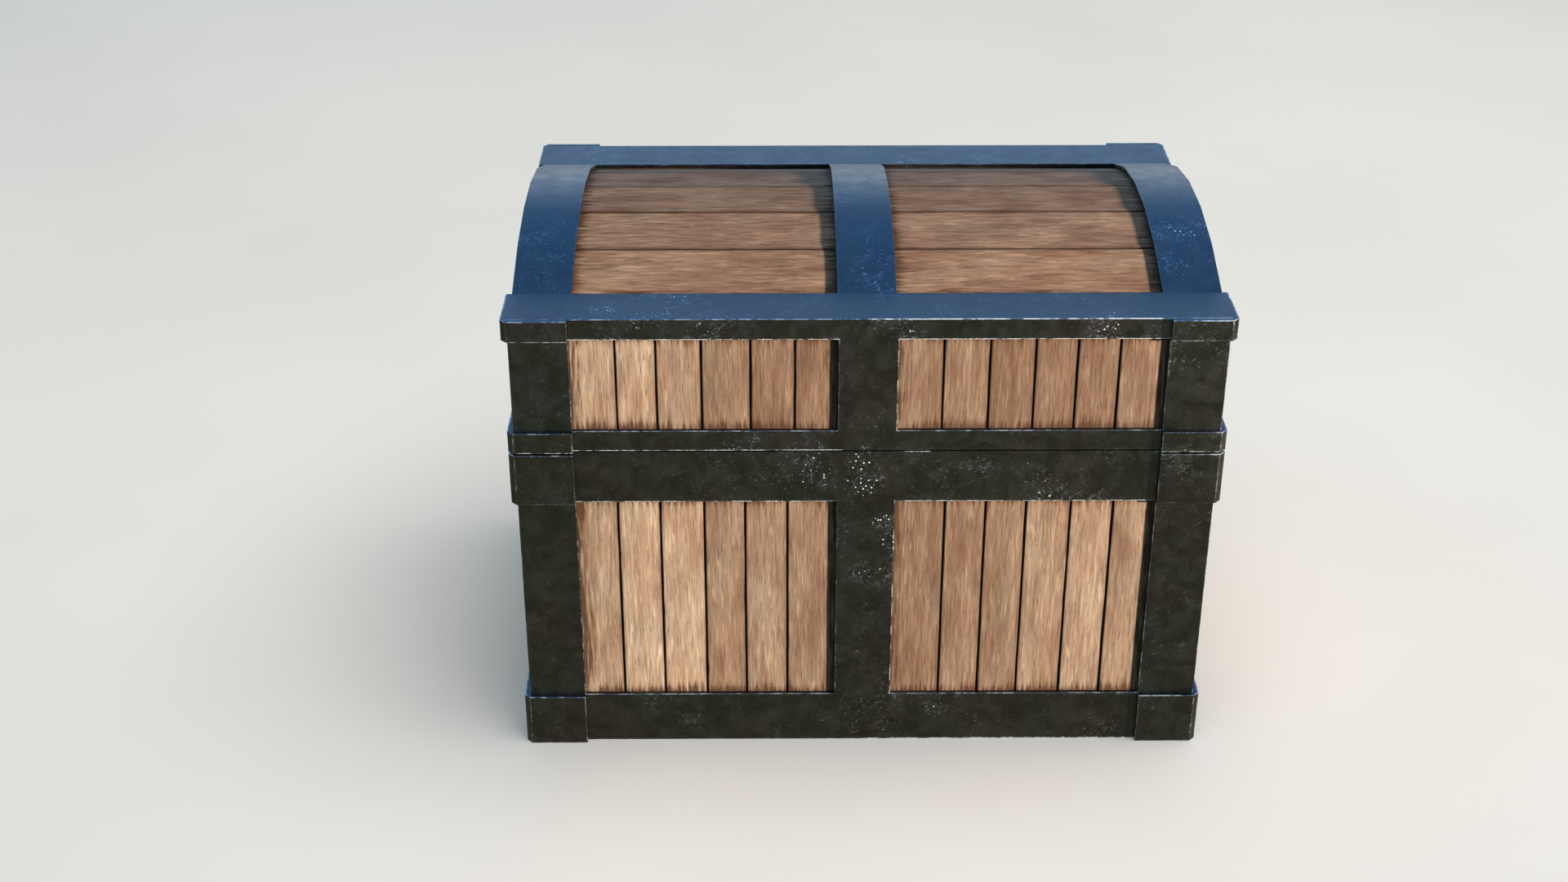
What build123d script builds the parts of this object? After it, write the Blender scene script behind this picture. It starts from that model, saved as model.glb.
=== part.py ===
"""Iron-bound wooden trunk with a low staved dome lid.

Millimetres. X runs left to right, -Y is the front, +Z is up. The origin is the centre of the
base, on the floor. The body and the lid are each a box of planks inside a frame of flat iron bar;
two butt hinges at the back join them.
"""
from build123d import *
import math
import os

# ---------------------------------------------------------------- overall sizes
trunk_width = 900.0        # left to right, over the corner caps
trunk_depth = 606.0        # front to back, over the corner caps
body_height = 444.0        # floor to seam
lid_wall_height = 182.0    # seam to the top of the ledge
dome_rise = 45.0           # ledge to the dome's arc

# ---------------------------------------------------------------- iron bar and caps
bar_width = 74.0           # flat bar of the rails, posts, straps and bands
bar_thickness = 6.0
lid_rail_height = 28.0     # low rail along the lid's rim
cornice_height = 28.0      # upright leg of the cornice under the ledge
ledge_depth = 75.0         # flat leg of the cornice, back to the foot of the dome
cap_thickness = 7.5        # corner caps lie on the outside of the frame
cap_corner_cut = 7.4       # flat cut along each cap's upright corner
cap_seam_gap = 3.0         # body rim caps stop this far below the seam
edge_ease = 0.8            # small flat along free iron edges

# ---------------------------------------------------------------- timber
board_thickness = 18.0
board_ease = 1.2           # flats that make the V between two boards
board_foot_gap = 3.0       # wall boards end above the floor
board_seam_gap = 1.0       # wall boards end short of the seam, so iron rests on iron
board_tuck = 9.0           # how far the last visible board runs on behind the iron
corner_block = 36.0        # square timber upright inside each corner
batten_count = 3
batten_width = 60.0
batten_height = 20.0
bottom_thickness = 16.0
bottom_board_count = 6
sill_height = 20.0         # timber under the ledge, on top of the wall boards
stave_count = 5
stave_thickness = 15.0

# Relative widths of the boards that show in each opening, left to right.
body_left_shares = (52, 54, 56, 52, 54, 63)
body_right_shares = (64, 52, 52, 57, 54, 53)
lid_left_shares = (56, 50, 56, 61, 55, 54)
lid_right_shares = (56, 57, 56, 52, 52, 59)
end_shares = (56, 53, 57, 55, 54, 57, 53, 58)

# ---------------------------------------------------------------- hinges
hinge_spacing = 406.0      # between the middles of the two hinges
hinge_length = 80.0
knuckle_count = 5
knuckle_radius = 6.0
knuckle_gap = 0.4          # along the pin, between two knuckles
pin_radius = 3.0
pin_clearance = 0.05       # radial, pin in knuckle
pin_head_radius = 4.6
pin_head_height = 2.0
leaf_thickness = 3.0
body_leaf_height = 42.0
lid_leaf_height = 24.0
leaf_knuckle_gap = 0.5     # between a leaf's edge and the other leaf's knuckles
stop_reach = 9.5           # from the pin's axis to the tip of the stop lug
stop_thickness = 3.0
lid_opening = 100.0        # degrees, lid open against its stops
stop_margin = 0.5          # degrees left between lug and leaf at that angle
screw_count = 3            # in each hinge leaf
screw_radius = 2.0
screw_head_radius = 4.0
screw_head_height = 2.0
screw_length = 18.0
screw_clearance = 0.1      # radial, round shank and head

# ---------------------------------------------------------------- places that follow
frame_x = trunk_width / 2 - cap_thickness          # outer face of the end frames
frame_y = trunk_depth / 2 - cap_thickness          # outer face of the front and back frames
board_x = frame_x - bar_thickness                  # outer face of the end boards
board_y = frame_y - bar_thickness                  # outer face of the front and back boards
inner_x = board_x - board_thickness
inner_y = board_y - board_thickness
post_x = frame_x - bar_width                       # inner edge of the posts, on the front
post_y = frame_y - bar_width                       # inner edge of the posts, on the ends
strap_x = bar_width / 2
dome_y = frame_y - ledge_depth                     # foot of the dome

seam_z = body_height
rim_rail_z = seam_z - bar_width
lid_rail_z = seam_z + lid_rail_height
ledge_z = seam_z + lid_wall_height                 # top of the ledge
cornice_z = ledge_z - cornice_height
ledge_under_z = ledge_z - bar_thickness
lid_board_z = ledge_under_z - sill_height          # top of the lid's wall boards
floor_z = batten_height + bottom_thickness         # inside floor

dome_radius = (dome_y**2 + dome_rise**2) / (2 * dome_rise)
dome_centre_z = ledge_z + dome_rise - dome_radius
dome_half_angle = math.asin(dome_y / dome_radius)
stave_angle = 2 * dome_half_angle / stave_count
foot_slope = dome_half_angle - stave_angle / 2     # slope of the lowest stave

hinge_y = trunk_depth / 2                          # pin axis, in the plane of the caps
hinge_z = seam_z
hinge_places = (-hinge_spacing / 2, hinge_spacing / 2)
leaf_near = knuckle_radius + leaf_knuckle_gap      # from the axis to a leaf's plain edge


# ---------------------------------------------------------------- helpers
def block(x0, x1, y0, y1, z0, z1):
    """A rectangular block between two corners."""
    middle = Pos((x0 + x1) / 2, (y0 + y1) / 2, (z0 + z1) / 2)
    return middle * Box(x1 - x0, y1 - y0, z1 - z0)


def half_turn(shape):
    """The same piece on the opposite side of the trunk."""
    return Rot(0, 0, 180) * shape


def prism_x(points, x0, x1):
    """A prism along X over an outline of (y, z) points."""
    outline = Plane.YZ * make_face(Polyline(*points, close=True))
    return Pos(x0, 0, 0) * extrude(outline, x1 - x0)


def lies_at(edge, places):
    """True if the whole edge lies at the given X, Y or Z places."""
    box = edge.bounding_box()
    for letter, place in places.items():
        if abs(getattr(box.min, letter) - place) > 0.01:
            return False
        if abs(getattr(box.max, letter) - place) > 0.01:
            return False
    return True


def eased(shape, amount, *lines):
    """Put a small flat on the edges that lie on the given lines."""
    chosen = [e for e in shape.edges() if any(lies_at(e, line) for line in lines)]
    return chamfer(chosen, amount)


def window_cut(plane, half_width, z0, z1, ease=edge_ease):
    """A square funnel that eases the four iron edges round an opening."""
    mouth = Rectangle(2 * half_width + 4 * ease, z1 - z0 + 4 * ease)
    placed = plane * Pos(0, (z0 + z1) / 2, -ease) * mouth
    return extrude(placed, 2 * ease, taper=45)


def front_windows(z0, z1):
    """The easing cuts for the two front openings of a level."""
    half_width = (post_x - strap_x) / 2
    cuts = []
    for middle in (-(post_x + strap_x) / 2, (post_x + strap_x) / 2):
        face = Plane(origin=(middle, -frame_y, 0), x_dir=(-1, 0, 0), z_dir=(0, 1, 0))
        cuts.append(window_cut(face, half_width, z0, z1))
    return cuts


def end_window(z0, z1):
    """The easing cut for the one opening in the left end of a level."""
    face = Plane(origin=(-frame_x, 0, 0), x_dir=(0, 1, 0), z_dir=(1, 0, 0))
    return window_cut(face, post_y, z0, z1)


def dome_line(inset):
    """(y, z) points of the dome's facets, moved inwards, from foot to foot."""
    radius = dome_radius - inset / math.cos(stave_angle / 2)
    points = []
    for joint in range(1, stave_count):
        angle = joint * stave_angle - dome_half_angle
        points.append((radius * math.sin(angle), dome_centre_z + radius * math.cos(angle)))
    first_y, first_z = points[0]
    foot_z = first_z - (first_y + dome_y) * math.tan(foot_slope)
    return [(-dome_y, foot_z), *points, (dome_y, foot_z)]


pieces = {}


# ---------------------------------------------------------------- planked walls
def board_edges(low, high, shares):
    """Joint places of the boards across one opening, ends included."""
    places = [low]
    for share in shares:
        places.append(places[-1] + (high - low) * share / sum(shares))
    places[0] = low - board_tuck
    places[-1] = high + board_tuck
    return places


def front_boards(left_shares, right_shares, z0, z1):
    """Upright boards of a front wall: two openings and the boards behind the iron."""
    joints = [-inner_x]
    joints += board_edges(-post_x, -strap_x, left_shares)
    joints += board_edges(strap_x, post_x, right_shares)
    joints.append(inner_x)
    boards = []
    for x0, x1 in zip(joints, joints[1:]):
        board = block(x0, x1, -board_y, -inner_y, z0, z1)
        boards.append(eased(board, board_ease, {"X": x0, "Y": -board_y}, {"X": x1, "Y": -board_y}))
    return boards


def end_boards(z0, z1):
    """Upright boards of the left end: one opening and the boards behind the posts."""
    joints = [-board_y, *board_edges(-post_y, post_y, end_shares), board_y]
    boards = []
    for y0, y1 in zip(joints, joints[1:]):
        board = block(-board_x, -inner_x, y0, y1, z0, z1)
        boards.append(eased(board, board_ease, {"X": -board_x, "Y": y0}, {"X": -board_x, "Y": y1}))
    return boards


def corner_blocks(z0, z1):
    """The four square uprights in the inside corners."""
    blocks = []
    for sx in (-1, 1):
        for sy in (-1, 1):
            centre = (sx * (inner_x - corner_block / 2), sy * (inner_y - corner_block / 2))
            blocks.append(Pos(*centre, (z0 + z1) / 2) * Box(corner_block, corner_block, z1 - z0))
    return blocks


body_board_top = seam_z - board_seam_gap
lid_board_foot = seam_z + board_seam_gap
pieces["body_front_boards"] = front_boards(
    body_left_shares, body_right_shares, board_foot_gap, body_board_top)
pieces["body_back_boards"] = [half_turn(b) for b in pieces["body_front_boards"]]
pieces["body_left_boards"] = end_boards(board_foot_gap, body_board_top)
pieces["body_right_boards"] = [half_turn(b) for b in pieces["body_left_boards"]]
pieces["body_corner_blocks"] = corner_blocks(floor_z, body_board_top)

pieces["lid_front_boards"] = front_boards(
    lid_left_shares, lid_right_shares, lid_board_foot, lid_board_z)
pieces["lid_back_boards"] = [half_turn(b) for b in pieces["lid_front_boards"]]
pieces["lid_left_boards"] = end_boards(lid_board_foot, lid_board_z)
pieces["lid_right_boards"] = [half_turn(b) for b in pieces["lid_left_boards"]]
pieces["lid_corner_blocks"] = corner_blocks(lid_board_foot, lid_board_z)


# ---------------------------------------------------------------- bottom
def bottom_boards():
    """Boards along the trunk's length, lying on the battens."""
    width = 2 * inner_y / bottom_board_count
    boards = []
    for index in range(bottom_board_count):
        y0 = -inner_y + index * width
        board = block(-inner_x, inner_x, y0, y0 + width, batten_height, floor_z)
        boards.append(eased(board, board_ease, {"Y": y0, "Z": floor_z}, {"Y": y0 + width, "Z": floor_z}))
    return boards


def bottom_battens():
    """Cross battens under the bottom boards; the middle one lies on the origin."""
    span = inner_x - batten_width
    battens = []
    for index in range(batten_count):
        x = -span + index * 2 * span / (batten_count - 1)
        battens.append(Pos(x, 0, batten_height / 2) * Box(batten_width, 2 * inner_y, batten_height))
    return battens


pieces["bottom_boards"] = bottom_boards()
pieces["bottom_battens"] = bottom_battens()


# ---------------------------------------------------------------- hinges
def knuckle_spans(of_lid):
    """X spans of a leaf's own knuckles: the body has the odd ones, the lid the even ones."""
    pitch = hinge_length / knuckle_count
    spans = []
    for index in range(1 if of_lid else 0, knuckle_count, 2):
        x0 = -hinge_length / 2 + index * pitch + knuckle_gap / 2
        spans.append((x0, x0 + pitch - knuckle_gap))
    return spans


def screw_places(z):
    """Centres of a leaf's screws, on the frame's outer face."""
    pitch = hinge_length / screw_count
    return [(-hinge_length / 2 + (i + 0.5) * pitch, frame_y + leaf_thickness, z)
            for i in range(screw_count)]


def screw(place, clearance=0.0):
    """A countersunk screw along -Y from its head's face; with clearance, the hole for it."""
    head = Cone(screw_radius + clearance, screw_head_radius + clearance, screw_head_height)
    head_up = Pos(0, 0, -screw_head_height / 2) * head
    shank_up = Pos(0, 0, -screw_length / 2) * Cylinder(screw_radius + clearance, screw_length)
    return Pos(*place) * Rot(-90, 0, 0) * (head_up + shank_up)


def hinge_leaf(of_lid):
    """One leaf of a hinge with its knuckles, in the middle of the trunk's back."""
    up = 1 if of_lid else -1
    height = lid_leaf_height if of_lid else body_leaf_height
    near = hinge_z + up * leaf_near
    far = hinge_z + up * height
    low, high = sorted((near, far))
    leaf = block(-hinge_length / 2, hinge_length / 2, frame_y, frame_y + leaf_thickness, low, high)
    bore = Pos(0, hinge_y, hinge_z) * Rot(0, 90, 0) * Cylinder(
        pin_radius + pin_clearance, 2 * hinge_length)
    for x0, x1 in knuckle_spans(of_lid):
        low, high = sorted((hinge_z, near))
        finger = block(x0, x1, frame_y, frame_y + leaf_thickness, low, high)
        barrel = Pos((x0 + x1) / 2, hinge_y, hinge_z) * Rot(0, 90, 0) * Cylinder(
            knuckle_radius, x1 - x0)
        leaf = leaf + finger + barrel
        if of_lid:
            leaf = leaf + stop_lug(x0, x1)
    leaf = leaf - bore
    for place in screw_places((near + far) / 2):
        leaf = leaf - screw(place, screw_clearance)
    return leaf


def stop_lug(x0, x1):
    """A lug on a lid knuckle that meets the body leaf when the lid is fully open."""
    to_leaf = hinge_y - frame_y - leaf_thickness
    contact = math.degrees(math.asin(to_leaf / stop_reach))
    corner = math.degrees(math.asin(stop_thickness / 2 / stop_reach))
    angle = lid_opening + stop_margin - 90 - contact + corner
    bar = Pos(stop_reach / 2, 0, 0) * Box(stop_reach, stop_thickness, x1 - x0)
    turned = Rot(0, 0, angle) * bar
    return Pos((x0 + x1) / 2, hinge_y, hinge_z) * Plane.YZ.location * turned


def hinge_pin():
    """The pin with a button head at each end."""
    length = hinge_length + 2 * pin_head_height
    shank = Cylinder(pin_radius, length)
    pin = shank
    for side in (-1, 1):
        head = Cylinder(pin_head_radius, pin_head_height - knuckle_gap)
        z = side * (hinge_length / 2 + (pin_head_height + knuckle_gap) / 2)
        pin = pin + Pos(0, 0, z) * head
    return Pos(0, hinge_y, hinge_z) * Rot(0, 90, 0) * pin


body_screw_z = hinge_z - (leaf_near + body_leaf_height) / 2
lid_screw_z = hinge_z + (leaf_near + lid_leaf_height) / 2
body_screws = [Pos(x, 0, 0) * screw(p) for x in hinge_places for p in screw_places(body_screw_z)]
lid_screws = [Pos(x, 0, 0) * screw(p) for x in hinge_places for p in screw_places(lid_screw_z)]
for index, x in enumerate(hinge_places):
    side = ("left", "right")[index]
    pieces[f"hinge_body_leaf_{side}"] = [Pos(x, 0, 0) * hinge_leaf(of_lid=False)]
    pieces[f"hinge_lid_leaf_{side}"] = [Pos(x, 0, 0) * hinge_leaf(of_lid=True)]
pieces["hinge_pins"] = [Pos(x, 0, 0) * hinge_pin() for x in hinge_places]
pieces["hinge_body_screws"] = body_screws
pieces["hinge_lid_screws"] = lid_screws


def drilled(shape, z):
    """The piece with its hinge screw holes."""
    for x in hinge_places:
        for place in screw_places(z):
            shape = shape - Pos(x, 0, 0) * screw(place, screw_clearance)
    return shape


pieces["body_back_boards"] = [drilled(b, body_screw_z) for b in pieces["body_back_boards"]]
pieces["lid_back_boards"] = [drilled(b, lid_screw_z) for b in pieces["lid_back_boards"]]


# ---------------------------------------------------------------- iron rails, posts and straps
def rails(z0, z1, front_cuts, end_cut, eased_z):
    """Front, back, left and right flat rails of one level."""
    front = block(-frame_x, frame_x, -frame_y, -board_y, z0, z1)
    front = eased(front, edge_ease, {"Y": -frame_y, "Z": eased_z})
    for cut in front_cuts:
        front = front - cut
    left = block(-frame_x, -board_x, -board_y, board_y, z0, z1)
    left = eased(left, edge_ease, {"X": -frame_x, "Z": eased_z}) - end_cut
    return {"front": front, "back": half_turn(front), "left": left, "right": half_turn(left)}


def corner_post(z0, z1, front_cuts, end_cut):
    """The angle iron at the front left corner."""
    across = block(-frame_x, -post_x, -frame_y, -board_y, z0, z1)
    along = block(-frame_x, -board_x, -frame_y, -post_y, z0, z1)
    post = eased(across + along, edge_ease, {"X": -frame_x, "Y": -frame_y}) - end_cut
    for cut in front_cuts:
        post = post - cut
    return post


def strap(z0, z1, front_cuts):
    """The flat bar up the middle of the front."""
    bar = block(-strap_x, strap_x, -frame_y, -board_y, z0, z1)
    for cut in front_cuts:
        bar = bar - cut
    return bar


def add_level(level, post_z0, post_z1, front_cuts, end_cut):
    """Posts and straps between a level's two rows of rails."""
    post = corner_post(post_z0, post_z1, front_cuts, end_cut)
    other = post.mirror(Plane.YZ)
    pieces[f"{level}_post_front_left"] = [post]
    pieces[f"{level}_post_front_right"] = [other]
    pieces[f"{level}_post_back_left"] = [half_turn(other)]
    pieces[f"{level}_post_back_right"] = [half_turn(post)]
    pieces[f"{level}_strap_front"] = [strap(post_z0, post_z1, front_cuts)]
    pieces[f"{level}_strap_back"] = [half_turn(strap(post_z0, post_z1, front_cuts))]


body_front_cuts = front_windows(bar_width, rim_rail_z)
body_end_cut = end_window(bar_width, rim_rail_z)
lid_front_cuts = front_windows(lid_rail_z, cornice_z)
lid_end_cut = end_window(lid_rail_z, cornice_z)

add_level("body", bar_width, rim_rail_z, body_front_cuts, body_end_cut)
add_level("lid", lid_rail_z, cornice_z, lid_front_cuts, lid_end_cut)

base_rails = rails(0, bar_width, body_front_cuts, body_end_cut, 0)
rim_rails = rails(rim_rail_z, seam_z, body_front_cuts, body_end_cut, seam_z)
lid_rails = rails(seam_z, lid_rail_z, lid_front_cuts, lid_end_cut, seam_z)
rim_rails["back"] = drilled(rim_rails["back"], body_screw_z)
lid_rails["back"] = drilled(lid_rails["back"], lid_screw_z)
for side in ("front", "back", "left", "right"):
    pieces[f"base_rail_{side}"] = [base_rails[side]]
    pieces[f"rim_rail_{side}"] = [rim_rails[side]]
    pieces[f"lid_rail_{side}"] = [lid_rails[side]]


# ---------------------------------------------------------------- corner caps
def corner_caps(z0, z1, reach_y):
    """The four cuffs round the corners of one level; reach_y is their inner edge on the ends."""
    cap_x = trunk_width / 2
    cap_y = trunk_depth / 2
    outline = [
        (-post_x, -cap_y), (-post_x, -frame_y), (-frame_x, -frame_y), (-frame_x, -reach_y),
        (-cap_x, -reach_y), (-cap_x, cap_corner_cut - cap_y), (cap_corner_cut - cap_x, -cap_y)]
    cap = extrude(Plane.XY.offset(z0) * make_face(Polyline(*outline, close=True)), z1 - z0)
    lines = [{"X": -post_x, "Y": -cap_y}, {"X": -cap_x, "Y": -reach_y}]
    for z in (z0, z1):
        lines += [{"Y": -cap_y, "Z": z}, {"X": -cap_x, "Z": z}]
    chosen = []
    for edge in cap.edges():
        on_cut = abs(edge.center().X + edge.center().Y + cap_x + cap_y - cap_corner_cut) < 0.01
        upright = edge.bounding_box().size.Z > edge_ease
        if any(lies_at(edge, line) for line in lines) or (on_cut and not upright):
            chosen.append(edge)
    cap = chamfer(chosen, edge_ease)
    other = cap.mirror(Plane.YZ)
    return [cap, other, half_turn(other), half_turn(cap)]


pieces["base_corner_caps"] = corner_caps(0, bar_width, post_y)
pieces["rim_corner_caps"] = corner_caps(rim_rail_z, seam_z - cap_seam_gap, post_y)
pieces["lid_corner_caps"] = corner_caps(seam_z, lid_rail_z, post_y)
pieces["cornice_corner_caps"] = corner_caps(cornice_z, ledge_z, dome_y)


# ---------------------------------------------------------------- cornice, sills and dome ends
def cornice_bar():
    """The front angle iron: an upright leg and the flat ledge on top."""
    upright = block(-frame_x, frame_x, -frame_y, -board_y, cornice_z, ledge_z)
    ledge = block(-frame_x, frame_x, -frame_y, -dome_y, ledge_under_z, ledge_z)
    bar = eased(upright + ledge, edge_ease, {"Y": -frame_y, "Z": ledge_z})
    for cut in lid_front_cuts:
        bar = bar - cut
    return bar


cornice = cornice_bar()
pieces["cornice_front"] = [cornice]
pieces["cornice_back"] = [half_turn(cornice)]

sill = block(-board_x, board_x, -board_y, -dome_y, lid_board_z, ledge_under_z)
pieces["ledge_sills"] = [sill, half_turn(sill)]

plate_outline = [
    (-board_y, cornice_z), (-board_y, ledge_under_z), (-dome_y, ledge_under_z),
    *dome_line(bar_thickness), (dome_y, ledge_under_z), (board_y, ledge_under_z),
    (board_y, cornice_z)]
end_plate = prism_x(plate_outline, -frame_x, -board_x) - lid_end_cut
pieces["end_plate_left"] = [end_plate]
pieces["end_plate_right"] = [half_turn(end_plate)]

stave_under = dome_line(bar_thickness + stave_thickness)
end_board = prism_x(
    [(-dome_y, lid_board_z), *stave_under, (dome_y, lid_board_z)], -board_x, -inner_x)
pieces["dome_end_boards"] = [end_board, half_turn(end_board)]


# ---------------------------------------------------------------- staves and bands
def staves():
    """The dome's flat staves, side by side from front to back."""
    upper = dome_line(bar_thickness)
    lower = dome_line(bar_thickness + stave_thickness)
    made = []
    for index in range(stave_count):
        outline = [upper[index], upper[index + 1], lower[index + 1], lower[index]]
        stave = prism_x(outline, -board_x, board_x)
        lines = [{"Y": y, "Z": z} for y, z in (upper[index], upper[index + 1])]
        made.append(eased(stave, board_ease, *lines))
    return made


def arch_band(x0, x1):
    """A flat bar bent over the staves from ledge to ledge."""
    outer = dome_line(0)
    inner = dome_line(bar_thickness)
    band = prism_x([*outer, *reversed(inner)], x0, x1)
    edges = []
    for edge in band.edges():
        box = edge.bounding_box()
        flat = abs(box.max.X - box.min.X) < 0.01
        above = any(abs(edge.position_at(0).Y - y) + abs(edge.position_at(0).Z - z) < 0.01
                    for y, z in outer)
        over = any(abs(edge.position_at(1).Y - y) + abs(edge.position_at(1).Z - z) < 0.01
                   for y, z in outer)
        if flat and above and over:
            edges.append(edge)
    return chamfer(edges, edge_ease)


pieces["dome_staves"] = staves()
pieces["arch_band_left"] = [arch_band(-frame_x, -post_x)]
pieces["arch_band_centre"] = [arch_band(-strap_x, strap_x)]
pieces["arch_band_right"] = [arch_band(post_x, frame_x)]


# ---------------------------------------------------------------- write one STEP for each piece
os.makedirs("parts", exist_ok=True)
for name, solids in pieces.items():
    shape = solids[0] if len(solids) == 1 else Compound(children=solids)
    export_step(shape, f"parts/{name}.step")
print(len(pieces), "nodes")
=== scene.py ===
"""Looks for the iron-bound trunk: boards, staves, forged bar, fittings, floor, lights and camera."""
import math

import bmesh
import bpy
import numpy as np
from bpy.props import FloatProperty, FloatVectorProperty, PointerProperty
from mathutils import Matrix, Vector


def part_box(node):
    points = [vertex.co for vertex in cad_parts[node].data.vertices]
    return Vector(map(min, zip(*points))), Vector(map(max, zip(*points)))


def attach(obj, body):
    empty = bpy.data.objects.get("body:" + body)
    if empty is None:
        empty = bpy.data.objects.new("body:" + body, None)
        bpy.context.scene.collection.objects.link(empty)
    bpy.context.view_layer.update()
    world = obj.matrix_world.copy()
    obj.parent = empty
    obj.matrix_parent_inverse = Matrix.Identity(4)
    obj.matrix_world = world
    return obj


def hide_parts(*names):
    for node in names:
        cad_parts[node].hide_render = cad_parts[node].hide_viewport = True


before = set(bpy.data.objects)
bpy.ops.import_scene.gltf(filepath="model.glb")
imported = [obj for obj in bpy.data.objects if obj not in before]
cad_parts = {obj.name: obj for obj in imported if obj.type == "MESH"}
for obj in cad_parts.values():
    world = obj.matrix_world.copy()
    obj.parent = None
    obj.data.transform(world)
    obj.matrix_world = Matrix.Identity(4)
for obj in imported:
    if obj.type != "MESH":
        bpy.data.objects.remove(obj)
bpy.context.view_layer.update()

bl_info = {
    "name": "Iron-bound trunk",
    "version": (1, 0, 0),
    "blender": (4, 5, 0),
    "location": "3D View > Sidebar > Trunk",
    "description": "Builds the boards, staves, forged iron and fittings of a dome-lid trunk",
    "category": "Add Mesh",
}

BODY = "trunk_body"
LID = "trunk_lid"
MM = 0.001


# ------------------------------------------------------------------ sizes and colours
def length_setting(name, default, description):
    """A length in metres that the user can change."""
    return FloatProperty(name=name, description=description, default=default, unit="LENGTH")


def colour_setting(name, default, description):
    """A colour that the user can change."""
    return FloatVectorProperty(
        name=name, description=description, default=default, subtype="COLOR", size=3)


def power_setting(name, default, description):
    """A light's power in watts that the user can change."""
    return FloatProperty(name=name, description=description, default=default, unit="POWER")


class TrunkBoardSettings(bpy.types.PropertyGroup):
    """Sizes and colours of the planks and staves."""
    groove_width: length_setting("Groove width", 2.1 * MM, "Open width of the joint between two boards")
    groove_depth: length_setting("Groove depth", 5.0 * MM, "Depth of the joint down to the tongue")
    arris_radius: length_setting("Arris radius", 1.3 * MM, "Rounding of a board's long edges")
    edge_wander: length_setting("Edge wander", 0.55 * MM, "How far a board's edge strays from straight")
    relief: length_setting("Relief", 0.35 * MM, "Height of the hollows and ridges along the grain")
    station: length_setting("Station spacing", 6.0 * MM, "Distance between sections along a board")
    wall_light: colour_setting("Wall light", (0.50, 0.345, 0.236), "Pale streaks of the wall boards")
    wall_dark: colour_setting("Wall dark", (0.185, 0.107, 0.069), "Dark streaks of the wall boards")
    dome_light: colour_setting("Dome light", (0.425, 0.246, 0.166), "Pale streaks of the dome staves")
    dome_dark: colour_setting("Dome dark", (0.130, 0.066, 0.042), "Dark streaks of the dome staves")
    # dark brown for dirt along the iron, also laid on as painted shade in the recess behind the iron, and for
    # the dark grooves
    grime_and_shade: colour_setting("Grime", (0.135, 0.065, 0.036), "Brown dirt along the iron and in the grooves")


class TrunkIronSettings(bpy.types.PropertyGroup):
    """Sizes and colours of the forged iron."""
    arris_radius: length_setting("Arris radius", 0.6 * MM, "Rounding of the free edges")
    unevenness: length_setting("Unevenness", 0.22 * MM, "Depth of the hammered hollows in the faces")
    cell: length_setting("Cell", 8.0 * MM, "Spacing of the grid over the faces")
    skin: colour_setting("Skin", (0.059, 0.060, 0.043), "Oil-black skin of the iron")
    skin_brown: colour_setting("Brown skin", (0.068, 0.057, 0.044), "Browner patches of the skin")
    bare: colour_setting("Bare metal", (0.66, 0.72, 0.73), "Bright metal on rubbed edges and chips")


class TrunkStageSettings(bpy.types.PropertyGroup):
    """Camera, floor and lights."""
    camera_place: FloatVectorProperty(
        name="Camera place", description="Where the camera stands",
        default=(-0.1181, -2.6987, 1.7597), subtype="TRANSLATION", size=3)
    camera_turn: FloatVectorProperty(
        name="Camera turn", description="The camera's rotation",
        default=(math.radians(61.55), 0.0, math.radians(-0.333)), subtype="EULER", size=3)
    lens: FloatProperty(
        name="Lens", description="Focal length in millimetres", default=50.14, unit="CAMERA")
    floor_size: length_setting("Floor size", 40.0, "Width of the floor")
    floor_colour: colour_setting("Floor colour", (0.62, 0.61, 0.59), "Plain pale floor")
    key_power: power_setting("Key power", 4100.0, "Power of the key light")
    floor_power: power_setting("Floor power", 1280.0, "Power of the wide light over the floor")
    rear_power: power_setting("Rear power", 900.0, "Power of the soft light from behind")
    sky_fill: colour_setting("Sky fill", (0.20, 0.36, 0.44), "Even light from above")
    ground_fill: colour_setting("Ground fill", (0.035, 0.033, 0.03), "Even light from below")


# ------------------------------------------------------------------ numpy surfaces
def lattice_noise(points, seed):
    """Smooth value noise from -1 to 1: random values on the whole-number lattice round each point,
    blended with the weight 3t^2 - 2t^3 along each of the three axes."""
    points = np.asarray(points, float)
    cell = np.floor(points).astype(np.int64)
    part = points - cell
    part = part * part * (3 - 2 * part)
    total = np.zeros(points.shape[:-1])
    for corner in range(8):
        step = np.array([corner & 1, corner >> 1 & 1, corner >> 2 & 1])
        key = (cell + step) % 65536
        mixed = key[..., 0] * 73856093 ^ key[..., 1] * 19349663 ^ key[..., 2] * 83492791
        mixed = mixed ^ seed * 2654435761
        mixed = (mixed ^ mixed >> 13) * 1274126177 & 0xFFFFFFFF
        mixed = (mixed ^ mixed >> 16) & 0xFFFF
        weight = np.prod(np.where(step == 1, part, 1 - part), axis=-1)
        total += weight * (mixed / 32767.5 - 1)
    return total


def noise2(a, b, seed):
    """Lattice noise over two arrays of coordinates."""
    a, b = np.broadcast_arrays(a, b)
    return lattice_noise(np.stack([a, b, np.full(a.shape, seed * 0.37)], axis=-1), seed)


def grid_quads(rows, columns, ring=False):
    """Quads over a rows by columns grid of points; ring closes each row on itself."""
    row, column = np.meshgrid(np.arange(rows - 1), np.arange(columns if ring else columns - 1), indexing="ij")
    here, beside = row * columns + column, row * columns + (column + 1) % columns
    return np.stack([here, beside, beside + columns, here + columns], axis=-1).reshape(-1, 4)


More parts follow.
